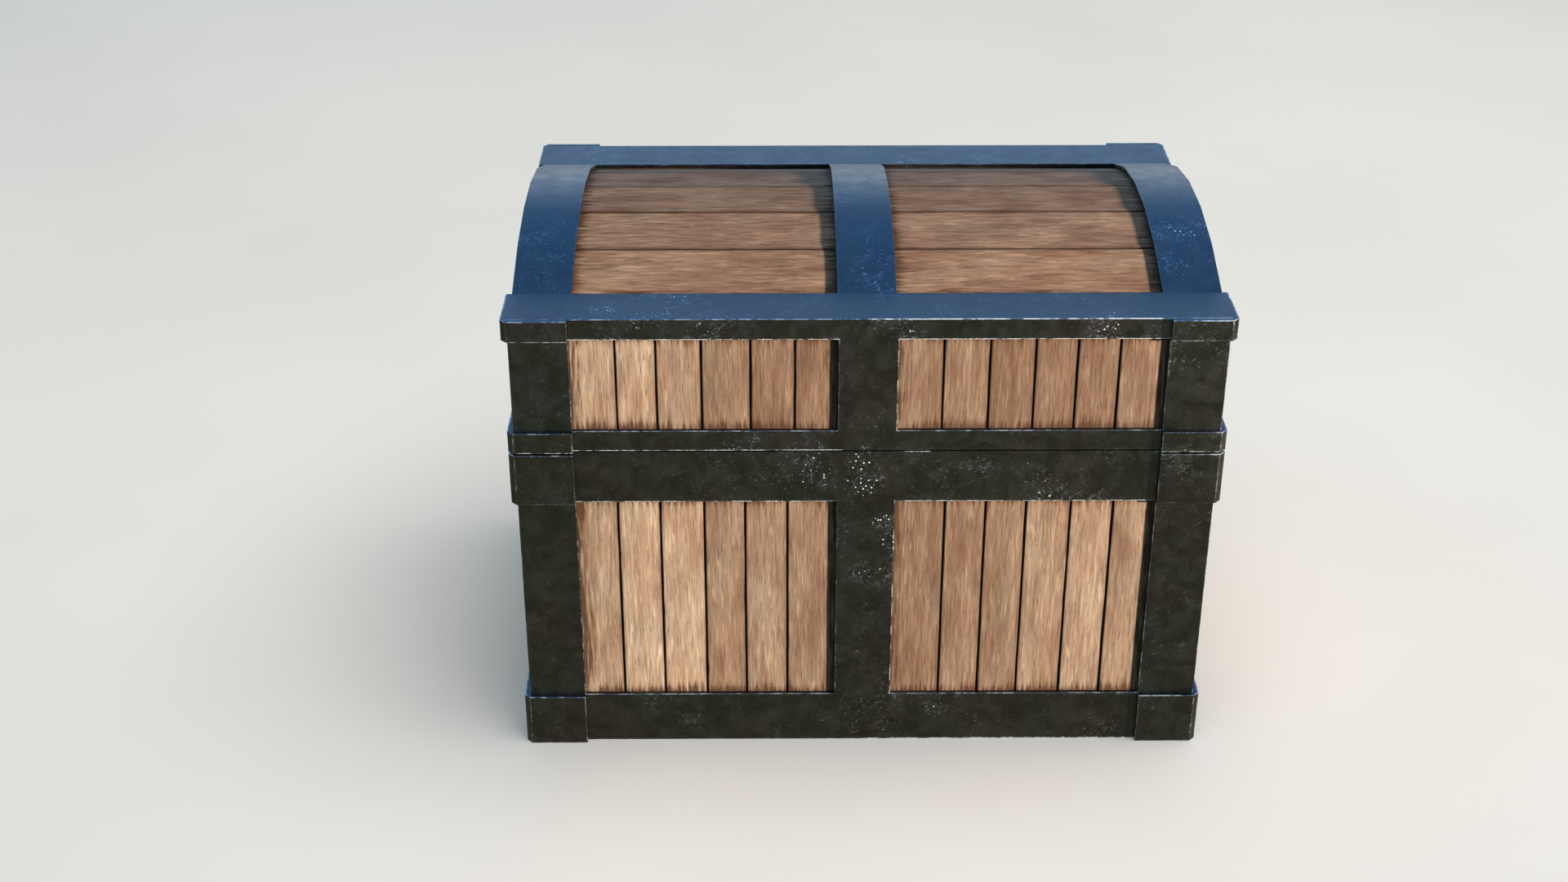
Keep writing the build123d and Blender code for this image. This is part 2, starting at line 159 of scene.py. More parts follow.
def join(shells):
    """One shell out of several: points, quads, end polygons and per-point values laid end to end."""
    start = np.cumsum([0] + [len(s["co"]) for s in shells])[:-1]
    out = {"co": np.concatenate([s["co"] for s in shells]),
           "quads": np.concatenate([s["quads"] + n for s, n in zip(shells, start)]),
           "ends": [[int(i) + int(n) for i in end] for s, n in zip(shells, start) for end in s["ends"]],
           "values": {}}
    for key in shells[0]["values"]:
        out["values"][key] = np.concatenate([s["values"][key] for s in shells])
    return out


def make_piece(name, shell, material, body, node, sharp=35.0):
    """Puts a shell into a mesh object at the origin, in place of a node, with its values as attributes.

    Edges that turn by more than sharp degrees stay sharp in the shading."""
    mesh = bpy.data.meshes.new(name)
    faces = [tuple(q) for q in shell["quads"].tolist()] + [tuple(e) for e in shell["ends"]]
    mesh.from_pydata(shell["co"].tolist(), [], faces)
    outward = bmesh.new()
    outward.from_mesh(mesh)
    bmesh.ops.recalc_face_normals(outward, faces=outward.faces)
    outward.to_mesh(mesh)
    outward.free()
    for key, value in shell["values"].items():
        if key == "grain":
            layer = mesh.uv_layers.new(name="grain")
            corner = np.zeros(len(mesh.loops), np.int32)
            mesh.loops.foreach_get("vertex_index", corner)
            layer.data.foreach_set("uv", value[corner].astype(np.float32).ravel())
        else:
            layer = mesh.attributes.new(key, "FLOAT", "POINT")
            layer.data.foreach_set("value", value.astype(np.float32))
    mesh.shade_smooth()
    mesh.set_sharp_from_angle(angle=math.radians(sharp))
    mesh.update()
    mesh.validate()
    piece = bpy.data.objects.new(name, mesh)
    bpy.context.scene.collection.objects.link(piece)
    mesh.materials.append(material)
    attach(piece, body)
    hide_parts(node)
    return piece


# ------------------------------------------------------------------ materials
class Nodes:
    """A short way to lay out a material's nodes; an input is a value or another node's socket."""

    def __init__(self, name):
        self.material = bpy.data.materials.new(name)
        self.material.use_nodes = True
        self.tree = self.material.node_tree
        self.shader = self.tree.nodes["Principled BSDF"]

    def join(self, value, socket):
        if isinstance(value, bpy.types.NodeSocket):
            self.tree.links.new(value, socket)
        else:
            socket.default_value = value

    def add(self, kind, inputs=None, **settings):
        """A node with its settings and inputs."""
        made = self.tree.nodes.new(kind)
        for key, value in settings.items():
            setattr(made, key, value)
        for key, value in (inputs or {}).items():
            self.join(value, made.inputs[key])
        return made

    def shade(self, sockets):
        """Fills in the shader's own sockets."""
        for key, value in sockets.items():
            self.join(value, self.shader.inputs[key])

    def chain(self, operation, first, others):
        """first, then each of the others, taken together by one operation."""
        for other in others:
            first = self.add("ShaderNodeMath", {0: first, 1: other}, operation=operation).outputs[0]
        return first

    def product(self, first, *others):
        return self.chain("MULTIPLY", first, others)

    def most(self, first, *others):
        return self.chain("MAXIMUM", first, others)

    def plus(self, a, b, weight=1.0, middle=0.0):
        """a + weight * (b - middle)."""
        part = self.product(self.chain("SUBTRACT", b, [middle]), weight)
        return self.chain("ADD", a, [part])

    def scaled(self, vector, scale):
        return self.add("ShaderNodeVectorMath", {0: vector, 1: scale}, operation="MULTIPLY").outputs[0]

    def object_place(self):
        return self.add("ShaderNodeTexCoord").outputs["Object"]

    def attribute(self, name):
        return self.add("ShaderNodeAttribute", attribute_name=name, attribute_type="GEOMETRY").outputs["Fac"]

    def noise(self, vector, scale, detail=3.0, rough=0.5, distortion=0.0):
        made = self.add("ShaderNodeTexNoise", {"Vector": vector, "Scale": scale, "Detail": detail,
                                               "Roughness": rough, "Distortion": distortion})
        return made.outputs["Fac"]

    def step(self, value, low, high, to_low=0.0, to_high=1.0):
        """Smooth step of value between low and high."""
        made = self.add("ShaderNodeMapRange", {
            "Value": value, "From Min": low, "From Max": high, "To Min": to_low, "To Max": to_high},
            interpolation_type="SMOOTHSTEP")
        return made.outputs[0]

    def mix(self, factor, a, b, kind="MIX"):
        """Colour a with colour b laid over it, or multiplied into it."""
        made = self.add("ShaderNodeMix", {}, data_type="RGBA", blend_type=kind)
        for index, value in ((0, factor), (6, a), (7, b)):
            self.join(value, made.inputs[index])
        return made.outputs[2]

    def bump(self, height, distance, strength):
        made = self.add("ShaderNodeBump", {"Height": height, "Distance": distance, "Strength": strength})
        return made.outputs["Normal"]


def rgba(colour, amount=1.0):
    """The colour times an amount, as four numbers."""
    return (*[amount * part for part in colour], 1.0)


# The wood's figure: streaks per metre across and along the grain, then the noise's detail,
# roughness and distortion, for the broad bands, blotches, streaks, fibres, pale flecks and pores.
FIGURE = ((48.0, 6.0, 3.0, 0.6, 0.2), (24.0, 9.0, 3.0, 0.6, 0.2), (250.0, 18.0, 3.0, 0.6, 0.1),
          (540.0, 38.0, 3.0, 0.65, 0.2), (290.0, 24.0, 2.0, 0.55, 0.2), (640.0, 60.0, 2.0, 0.5, 0.2))

# Tints of a board by its lightness, 0.5 and 1.5 being the ends: darker boards are also redder.
DARK_BOARD, PALE_BOARD = (0.57, 0.50, 0.47, 1.0), (1.40, 1.50, 1.54, 1.0)


def wood_finish(name, light, dark, grime_and_shade, turn=None, shine=0.12, size=1.0):
    """Bare planed wood: long streaks, fibres and pores along the grain, with brown dirt and painted shade
    near the iron.

    Without a turn the pattern follows the piece's own grain map, in metres with the grain along Y;
    otherwise the turn lays the grain along one axis. Size widens the pattern across the grain."""
    n = Nodes(name)
    if turn is None:
        grain = n.add("ShaderNodeUVMap", uv_map="grain").outputs["UV"]
        tone, near, groove = n.attribute("tone"), n.attribute("near_iron"), n.attribute("groove")
    else:
        grain = n.add("ShaderNodeMapping", {"Vector": n.object_place(), "Rotation": turn}).outputs[0]
        tone, near, groove = 0.95, 50 * MM, 0.0
    broad, blotch, streak, fibre, pale, pore = [
        n.noise(n.scaled(grain, (across / size, along, across / size)), 1.0, *rest)
        for across, along, *rest in FIGURE]

    figure = n.plus(n.plus(n.plus(n.product(broad, 0.32), streak, 0.38), fibre, 0.30), blotch, 0.18, 0.5)
    colour = n.mix(n.step(figure, 0.35, 0.66, 0.12, 0.84), rgba(dark), rgba(light))
    warmth = n.mix(n.step(blotch, 0.35, 0.65), (1.05, 0.98, 0.95, 1.0), (0.98, 1.01, 1.02, 1.0))
    colour = n.mix(1.0, colour, warmth, "MULTIPLY")
    glint = n.product(n.step(pale, 0.54, 0.67), n.step(n.plus(blotch, broad), 0.80, 1.15), 0.60)
    colour = n.mix(glint, colour, rgba(light, 1.3))
    colour = n.mix(1.0, colour, n.mix(n.chain("SUBTRACT", tone, [0.5]), DARK_BOARD, PALE_BOARD), "MULTIPLY")
    pore_mark = n.product(n.step(pore, 0.60, 0.70), n.step(streak, 0.60, 0.42))
    colour = n.mix(n.product(pore_mark, 0.42), colour, rgba(dark, 0.5))

    # brown dirt and painted shade of the recess behind the iron: a wide soft edge, a narrow dark one at the
    # iron, and nearly black grooves
    dirt_and_shade_edge = n.plus(n.plus(near, blotch, 0.022, 0.5), streak, 0.045, 0.5)
    colour = n.mix(n.step(dirt_and_shade_edge, -0.002, 0.0165, 0.94, 0.0), colour, rgba(grime_and_shade))
    colour = n.mix(n.step(dirt_and_shade_edge, -0.001, 0.0085, 0.60, 0.0), colour, rgba(grime_and_shade, 0.4))
    colour = n.mix(n.product(groove, 0.93), colour, rgba(grime_and_shade, 0.165))

    height = n.plus(n.plus(n.product(streak, 0.6), fibre, 0.4), pore_mark, -0.5)
    n.shade({"Base Color": colour, "Roughness": n.step(streak, 0.3, 0.7, 0.78, 0.62),
             "Specular IOR Level": shine, "Normal": n.bump(height, 0.9 * MM, 0.6)})
    return n.material


def hairlines(n, place):
    """Fine straight scratches: noise drawn out along two slanting directions."""
    drawn = []
    for turn, shift in (((0.4, -0.5, 0.3), 0.0), ((-0.3, 0.8, -0.6), 3.0)):
        line = n.add("ShaderNodeMapping", {
            "Vector": place, "Rotation": turn, "Location": (shift, 0.0, 0.0),
            "Scale": (1 / 22.0, 1 / 360.0, 1 / 360.0)}, vector_type="TEXTURE").outputs[0]
        drawn.append(n.step(n.noise(line, 1.0, 1.0, 0.4), 0.66, 0.76))
    return n.most(*drawn)


def scratches(n, place, patch):
    """Short bent scratches: the lines where a bent noise crosses its middle, broken up."""
    waver = n.add("ShaderNodeTexNoise", {"Vector": place, "Scale": 30.0}).outputs["Color"]
    bent = n.add("ShaderNodeVectorMath", {0: place, 1: n.scaled(waver, (0.03, 0.03, 0.03))},
                 operation="ADD").outputs[0]
    centred = n.chain("SUBTRACT", n.noise(bent, 48.0, 2.0, 0.5), [0.5])
    crossing = n.step(n.add("ShaderNodeMath", {0: centred}, operation="ABSOLUTE").outputs[0], 0.010, 0.002)
    return n.product(crossing, n.step(patch, 0.58, 0.70), n.step(n.noise(place, 95.0, 2.0), 0.50, 0.58))


def specks(n, place, patch, scuff):
    """Small chips: dots in a few of the cells of a scattered pattern, more of them on scuffed places."""
    cells = n.add("ShaderNodeTexVoronoi", {"Vector": place, "Scale": 300.0, "Randomness": 1.0})
    number = n.add("ShaderNodeSeparateColor", {"Color": cells.outputs["Color"]}).outputs["Red"]
    picked = n.step(n.plus(number, scuff, 0.12), 0.955, 0.965)
    return n.product(n.step(cells.outputs["Distance"], 0.42, 0.26), picked, n.step(patch, 0.60, 0.74))


def edge_marks(n, place, patch, gap, wear):
    """A bright rubbed line along the free edges, broken by noise, and chewed spots beside it."""
    shaken = n.plus(gap, n.noise(place, 260.0, 3.0, 0.6), 2.2 * MM, 0.5)
    stretch = n.plus(n.noise(place, 60.0, 3.0, 0.7), wear, 0.16)
    line = n.product(n.step(shaken, 1.6 * MM, 0.6 * MM), wear, n.step(stretch, 0.50, 0.68, 0.15, 1.0))
    chewed = n.product(n.step(gap, 10.0 * MM, 1.0 * MM), n.step(n.noise(place, 330.0, 2.0), 0.58, 0.68),
                       wear, n.step(patch, 0.52, 0.66), 0.5)
    return n.most(line, chewed)


def iron_finish(name, settings, has_edges):
    """Forged iron with a thin dark skin, and bare metal where flecks, scratches, chips or wear break it.

    Iron with edges carries how far each point is from a free edge, that edge's wear, and the scuffs."""
    n = Nodes(name)
    place = n.object_place()
    cloud = n.noise(place, 8.0, 4.0, 0.55, 0.5)
    mottle = n.noise(place, 42.0, 5.0, 0.6, 0.4)
    grit = n.noise(place, 520.0, 2.0, 0.6)
    scuff = n.attribute("scuff") if has_edges else 0.0
    skin = n.mix(n.step(cloud, 0.36, 0.66), rgba(settings.skin), rgba(settings.skin_brown))
    skin = n.mix(1.0, skin, n.step(mottle, 0.25, 0.75, 0.88, 1.13), "MULTIPLY")

    patch = n.plus(n.noise(place, 12.0, 3.0, 0.6), scuff, 0.30)
    fleck = n.product(n.step(n.noise(place, 210.0, 3.0, 0.6, 1.5), 0.55, 0.68), n.step(patch, 0.52, 0.72))
    bare = n.most(n.product(fleck, 0.15), n.product(scratches(n, place, patch), 0.30),
                  specks(n, place, patch, scuff),
                  n.product(hairlines(n, place), n.step(patch, 0.48, 0.68, 0.12, 0.60), 0.34))
    if has_edges:
        bare = n.most(bare, edge_marks(n, place, patch, n.attribute("edge_gap"), n.attribute("edge_wear")))

    rough = n.plus(n.plus(n.step(mottle, 0.3, 0.7, 0.34, 0.45), fleck, 0.12), grit, 0.10, 0.5)
    height = n.plus(n.plus(mottle, grit, 0.10), bare, -0.12)
    n.shade({"Base Color": n.mix(bare, skin, rgba(settings.bare)), "Roughness": rough,
             "Metallic": n.step(bare, 0.0, 0.7, 1.0, 0.15), "Normal": n.bump(height, 0.7 * MM, 0.45)})
    return n.material


def steel_finish(name):
    """Dull drawn steel for pins and screws."""
    n = Nodes(name)
    mottle = n.noise(n.object_place(), 260.0, 4.0, 0.6)
    metal = n.mix(n.step(mottle, 0.3, 0.7), (0.10, 0.095, 0.085, 1.0), (0.26, 0.25, 0.235, 1.0))
    n.shade({"Base Color": metal, "Metallic": 1.0, "Roughness": n.step(mottle, 0.3, 0.7, 0.34, 0.5),
             "Normal": n.bump(mottle, 0.3 * MM, 0.5)})
    return n.material


# Turns that lay the grain of the inner timber along the trunk, across it and upright.
TIMBER_TURNS = {"timber_along": (0.0, 0.0, math.radians(90)), "timber_across": (0.0, 0.0, 0.0),
                "timber_upright": (math.radians(90), 0.0, 0.0)}
finishes = {}


def make_finish(kind):
    """A new material of one kind, in the colours of the settings."""
    boards, iron = bpy.context.scene.trunk_boards, bpy.context.scene.trunk_iron
    if kind == "wall_boards":
        return wood_finish(kind, boards.wall_light, boards.wall_dark, boards.grime_and_shade)
    if kind == "dome_staves":
        return wood_finish(kind, boards.dome_light, boards.dome_dark, boards.grime_and_shade, shine=0.05, size=1.25)
    # near-black sills: painted shade for the dark gaps beside the ledges, where the sills show
    if kind == "timber_painted_shade":
        light, dark = [rgba(colour, 0.2)[:3] for colour in (boards.dome_light, boards.dome_dark)]
        return wood_finish(kind, light, dark, boards.grime_and_shade, TIMBER_TURNS["timber_along"])
    if kind in TIMBER_TURNS:
        return wood_finish(kind, boards.wall_light, boards.wall_dark, boards.grime_and_shade, TIMBER_TURNS[kind])
    if kind == "drawn_steel":
        return steel_finish(kind)
    return iron_finish(kind, iron, has_edges=kind == "forged_iron")


def finish_of(kind):
    """The shared materials, each made the first time it is asked for."""
    if kind not in finishes:
        finishes[kind] = make_finish(kind)
    return finishes[kind]


def dress(node, kind):
    """Gives a carried-over piece its finish."""
    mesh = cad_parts[node].data
    mesh.materials.clear()
    mesh.materials.append(finish_of(kind))


# ------------------------------------------------------------------ places read from the frame
def corners_of(node):
    """A node's lowest and highest corner as two arrays."""
    low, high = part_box(node)
    return np.array(low), np.array(high)


def mesh_points(node):
    """All points of a node's mesh."""
    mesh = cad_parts[node].data
    points = np.zeros(len(mesh.vertices) * 3, np.float32)
    mesh.vertices.foreach_get("co", points)
    return points.reshape(-1, 3).astype(float)


def joints_of(node, plane_axis, plane, along_axis):
    """Places of the joints between a wall's boards, read where its inner face lies."""
    points = mesh_points(node)
    on_plane = np.abs(points[:, plane_axis] - plane) < 0.05 * MM
    places = np.sort(points[on_plane, along_axis])
    keep = np.concatenate([[True], np.diff(places) > 0.5 * MM])
    return places[keep]


RAIL_LOW, RAIL_HIGH = corners_of("base_rail_front")
POST_LOW, POST_HIGH = corners_of("body_post_front_left")
LID_POST_LOW, LID_POST_HIGH = corners_of("lid_post_front_left")
CORNICE_LOW, CORNICE_HIGH = corners_of("cornice_front")

FRAME_X, FRAME_Y = float(RAIL_HIGH[0]), float(-RAIL_LOW[1])
PLATE = float(RAIL_HIGH[1] - RAIL_LOW[1])
POST_X, POST_Y = float(-POST_HIGH[0]), float(-POST_HIGH[1])
STRAP_X = float(corners_of("body_strap_front")[1][0])
DOME_Y = float(-CORNICE_HIGH[1])
LEDGE_Z = float(CORNICE_HIGH[2])
BODY_WINDOW_Z = (float(POST_LOW[2]), float(POST_HIGH[2]))
LID_WINDOW_Z = (float(LID_POST_LOW[2]), float(LID_POST_HIGH[2]))
# From X to X: the two openings of the front and the back between the posts and the strap.
FRONT_WINDOWS = ((-POST_X, -STRAP_X), (STRAP_X, POST_X))
FRONT_BREAKS = (-POST_X, -STRAP_X, STRAP_X, POST_X)
LEVELS = (("body", BODY, BODY_WINDOW_Z), ("lid", LID, LID_WINDOW_Z))
# Each wall, the sign of its outward axis, and whether it is an end.
WALLS = (("front", -1, False), ("back", 1, False), ("left", -1, True), ("right", 1, True))
# Plates are laid out on the front left; a side of -1 turns them over to the back or the right.
FRONT_AND_BACK = (("front", 1), ("back", -1))
CORNERS = ((1, 1), (-1, 1), (1, -1), (-1, -1))
# Stands for no limit: further than any place on the trunk.
FAR = 9.0


def dome_corners():
    """(y, z) corners of the staves' outer line, feet included, read from the left end plate."""
    points = mesh_points("end_plate_left")
    inside = (np.abs(points[:, 1]) < DOME_Y - MM) & (points[:, 2] > LEDGE_Z - PLATE)
    bends = np.unique(np.round(points[inside, 1:], 5), axis=0)
    slope = (bends[1, 1] - bends[0, 1]) / (bends[1, 0] - bends[0, 0])
    turn = 2 * math.atan(slope)
    drop = (bends[0, 0] + DOME_Y) * math.tan(turn)
    foot = bends[0, 1] - drop
    return np.array([[-DOME_Y, foot], *bends, [DOME_Y, foot]])


def moved_out(line, distance):
    """The same faceted line moved outwards, its feet kept over the same two places."""
    run = np.diff(line, axis=0)
    normal = np.stack([-run[:, 1], run[:, 0]], axis=1) / np.linalg.norm(run, axis=1)[:, None]
    bisector = normal[:-1] + normal[1:]
    scale = distance / np.sum(bisector * normal[:-1], axis=1)
    bends = line[1:-1] + bisector * scale[:, None]
    slope = run[0, 1] / run[0, 0]
    foot = bends[0, 1] - (bends[0, 0] - line[0, 0]) * slope
    return np.array([[line[0, 0], foot], *bends, [line[-1, 0], foot]])


STAVE_LINE = dome_corners()


# ------------------------------------------------------------------ boards
def window_depth(a, b, windows):
    """How far inside the nearest window (a0, a1, b0, b1) each point lies; zero outside all of them."""
    depth = np.zeros(np.broadcast(a, b).shape)
    for a0, a1, b0, b1 in windows:
        inside = np.minimum(np.minimum(a - a0, a1 - a), np.minimum(b - b0, b1 - b))
        depth = np.maximum(depth, inside)
    return depth


# Lightness of the boards where none is given, 1 being the usual, and of the end walls against that.
TONE_SPREAD = (0.78, 1.15)
END_WALL_SHADE = 0.86
# Lightness of the front walls' boards from left to right, and of the staves from front to back; the two back
# staves are made lighter as painted light, for the low key light that only grazes them.
BOARD_TONES = {
    "body_front_boards": (0.92, 0.92, 1.28, 1.28, 0.79, 0.89, 0.75, 0.83,
                          0.59, 0.71, 0.70, 0.90, 1.02, 0.85, 0.76),
    "lid_front_boards": (1.00, 1.08, 1.26, 0.92, 0.71, 0.60, 0.60, 0.72,
                         0.67, 0.73, 0.52, 0.58, 0.60, 0.71, 0.75),
}
STAVE_TONES_AND_PAINTED_LIGHT = (0.98, 1.04, 0.99, 1.08, 1.25)
STAVE_STAIN = 1.7
# Dirt and painted shade reach this much less far below the upper rail than above the lower one.
LESS_DIRT_AND_SHADE_AT_TOP = 3 * MM
# Nearness given to the faces that neither dirt nor painted shade reaches.
CLEAN = 50 * MM
# First seeds of the walls and the staves; a wall has one seed for each board.
WALL_SEED, WALL_SEED_STEP, STAVE_SEED = 1000, 97, 4100


def board_shell(across, along, thickness, lay, seed, windows, taper=(0.0, 0.0), tone=None, shade=1.0,
                joint_stain=1.0):
    """One board: a rounded-rectangle section carried along its length.

    Round the section run the outer face, a rounded arris, the groove wall, the tongue and the flat
    back. Each section's edges wander by noise along the length, with a chip now and then, and
    the outer face sinks into shallow hollows drawn out along the grain."""
    s = bpy.context.scene.trunk_boards
    rng = np.random.default_rng(seed)
    c0, c1 = across
    l0, l1 = along
    count = max(3, int(math.ceil((l1 - l0) / s.station)) + 1)
    v = np.linspace(l0, l1, count)[:, None]

    def wave(wavelength, shift):
        return noise2(v / wavelength, np.full(v.shape, 0.5), seed * 7 + shift)

    def wander(side):
        chip = np.clip(wave(22 * MM, side + 5) - 0.62, 0, 1) * 4.5
        return s.edge_wander * (0.75 * wave(55 * MM, side) + 0.3 * wave(14 * MM, side + 3) + chip)

    left = c0 + s.groove_width / 2 + wander(0)
    right = c1 - s.groove_width / 2 - wander(1)
    r, lip, rest = s.arris_radius, s.groove_depth, s.groove_depth + 0.3 * MM
    # the section's points: close together beside the arrises, even between, three on each arris
    near = np.array([[0.0, 1.2, 3.0, 6.0]]) * MM
    middle = np.linspace(0, 1, 8)[None, 1:-1]
    arc = np.radians([65.0, 35.0, 5.0])[None, :]
    flat = np.ones((count, 1))
    # c is each point's place across the board, d its height over the outer face
    c = np.concatenate([
        left + r + near, left + r + near[0, -1] + middle * (right - left - 2 * (r + near[0, -1])),
        right - r - near[:, ::-1], right - r + r * np.cos(arc), right,
        flat * (c1 - taper[1] * lip), flat * (c1 - taper[1] * thickness),
        flat * (c0 + taper[0] * thickness), flat * (c0 + taper[0] * lip),
        left, left + r - r * np.cos(arc[:, ::-1])], axis=1)
    face_points = 2 * near.size + middle.size
    d = np.concatenate([
        np.zeros((count, face_points)),
        flat * (r * np.sin(arc) - r), -flat * lip, -flat * rest, -flat * thickness,
        -flat * thickness, -flat * rest, -flat * lip, flat * (r * np.sin(arc[:, ::-1]) - r)], axis=1)
    stain = joint_stain * np.array([0.30, 0.12, 0.03, 0.0])
    groove = np.concatenate([
        stain, np.zeros(middle.size), stain[::-1],
        [0.65, 0.85, 1], [1, 1, 0], [0, 1, 1], [1, 0.85, 0.65]])[None, :] * flat
    front = d > -r - 1e-9
    length = np.broadcast_to(v, c.shape)
    hollow = 0.5 + 0.5 * noise2(c / (10 * MM), length / (110 * MM), seed * 7 + 11)
    ripple = 0.5 + 0.5 * noise2(c / (3.5 * MM), length / (50 * MM), seed * 7 + 13)
    crown = ((c - (c0 + c1) / 2) / (c1 - c0) * 2) ** 2
    sink = s.relief * (0.6 * hollow + 0.4 * ripple) + 0.35 * MM * crown + rng.uniform(0, 0.5) * MM
    d = d - np.where(front, sink, 0.0)
    depth = np.where(d > -lip - 1 * MM, window_depth(c, length, windows), CLEAN)
    co = lay(c, length, d).reshape(-1, 3)
    ring = c.shape[1]
    grain = np.stack([c + rng.uniform(0, 50), length + rng.uniform(0, 50)], axis=-1).reshape(-1, 2)
    if tone is None:
        tone = shade * rng.uniform(*TONE_SPREAD)
    return {
        "co": co, "quads": grid_quads(count, ring, ring=True),
        "ends": [list(range(ring))[::-1], list(range((count - 1) * ring, count * ring))],
        "values": {"grain": grain, "groove": groove.ravel(), "near_iron": depth.ravel(),
                   "tone": np.full(co.shape[0], tone)}}


def lay_front(side):
    """Board coordinates on the front (side -1) or back (side 1) wall: across is X, along is Z."""
    def lay(c, l, d):
        return np.stack([c, side * (FRAME_Y - PLATE + d), l], axis=-1)
    return lay


def lay_end(side):
    """Board coordinates on the left (side -1) or right (side 1) end: across is Y, along is Z."""
    def lay(c, l, d):
        return np.stack([side * (FRAME_X - PLATE + d), c, l], axis=-1)
    return lay


def lay_stave(a, run, start):
    """Board coordinates on a stave that runs from the place a of the dome's line in direction run."""
    def lay(c, l, d):
        y = a[0] + (c - start) * run[0] - d * run[1]
        z = a[1] + (c - start) * run[1] + d * run[0]
        return np.stack([l, y, z], axis=-1)
    return lay


def wall(node, side, is_end, window_z):
    """All the boards of one wall."""
    low, high = corners_of(node)
    axis = 1 if is_end else 0
    inner = (low if side > 0 else high)[1 - axis]
    joints = joints_of(node, 1 - axis, inner, axis)
    thickness = float((high - low)[1 - axis])
    z0, z1 = window_z[0], window_z[1] + LESS_DIRT_AND_SHADE_AT_TOP
    if is_end:
        windows, lay, shade = [(-POST_Y, POST_Y, z0, z1)], lay_end(side), END_WALL_SHADE
    else:
        windows, lay, shade = [(*part, z0, z1) for part in FRONT_WINDOWS], lay_front(side), 1.0
    seed = WALL_SEED + WALL_SEED_STEP * sorted(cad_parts).index(node)
    tones = BOARD_TONES.get(node, ())
    return join([board_shell(edges, (low[2], high[2]), thickness, lay, seed + i, windows,
                             tone=tones[i] if i < len(tones) else None, shade=shade)
                 for i, edges in enumerate(zip(joints, joints[1:]))])


class TRUNK_OT_wall_boards(bpy.types.Operator):
    """Upright boards of the body's and the lid's four walls"""
    bl_idname = "trunk.wall_boards"
    bl_label = "Wall boards"

    def execute(self, context):
        for level, body, window_z in LEVELS:
            for name, side, is_end in WALLS:
                node = f"{level}_{name}_boards"
                make_piece(f"{level}_{name}_planks", wall(node, side, is_end, window_z),
                           finish_of("wall_boards"), body, node)
        return {"FINISHED"}


class TRUNK_OT_dome_staves(bpy.types.Operator):
    """Flat staves of the dome, laid side by side over the sills"""
    bl_idname = "trunk.dome_staves"
    bl_label = "Dome staves"

    def execute(self, context):
        low, high = corners_of("dome_staves")
        thickness = stave_thickness()
        runs = np.diff(STAVE_LINE, axis=0)
        widths = np.linalg.norm(runs, axis=1).tolist()
        total = sum(widths)
        slopes = np.arctan2(runs[:, 1], runs[:, 0])
        foot = -math.tan(slopes[0])
        mitre = math.tan(float(slopes[0] - slopes[1]) / 2)
        windows = [(0.0, total, *part) for part in FRONT_WINDOWS]
        shells, start = [], 0.0
        for index, width in enumerate(widths):
            a, run = STAVE_LINE[index], runs[index] / width
            taper = (foot if index == 0 else mitre, foot if index == len(widths) - 1 else mitre)
            # each stave's lightness, with painted light on the back staves
            shells.append(board_shell((start, start + width), (low[0], high[0]), thickness,
                                      lay_stave(a, run, start), STAVE_SEED + index, windows, taper,
                                      STAVE_TONES_AND_PAINTED_LIGHT[index], joint_stain=STAVE_STAIN))
            start += width
        make_piece("dome_planks", join(shells), finish_of("dome_staves"), LID, "dome_staves")
        return {"FINISHED"}


def stave_thickness():
    """Thickness of the staves: the crown of the end plates less the crown of the dome end boards."""
    return float(corners_of("end_plate_left")[1][2] - corners_of("dome_end_boards")[1][2])


class TRUNK_OT_inner_timber(bpy.types.Operator):
    """Bottom boards, battens, corner uprights, sills and dome end boards"""
    bl_idname = "trunk.inner_timber"
    bl_label = "Inner timber"

    def execute(self, context):
        # the ledge sills take the near-black finish, painted shade for the gaps beside the ledges
        for node, kind in (("bottom_boards", "timber_along"), ("bottom_battens", "timber_across"),
                           ("body_corner_blocks", "timber_upright"), ("lid_corner_blocks", "timber_upright"),
                           ("ledge_sills", "timber_painted_shade"), ("dome_end_boards", "timber_across")):
            dress(node, kind)
        return {"FINISHED"}


# ------------------------------------------------------------------ forged bar
def spaced(low, high, step, breaks=()):
    """Places from low to high: close together at both ends, even between, doubled at the breaks."""
    fine = np.array([0.0, 0.12, 0.3, 0.55, 0.85, 1.3, 2.2, 4.0]) * MM
    even = np.linspace(low, high, max(2, int(round((high - low) / step)) + 1))
    places = [even, low + fine, high - fine]
    for place in breaks:
        if low + 5 * MM < place < high - 5 * MM:
            places.append(place + np.array([-3.0, -1.2, -0.5, -0.02, 0.02, 0.5, 1.2, 3.0]) * MM)
    places = np.unique(np.round(np.concatenate(places), 6))
    keep = np.concatenate([[True], np.diff(places) > 0.03 * MM])
    return places[keep]


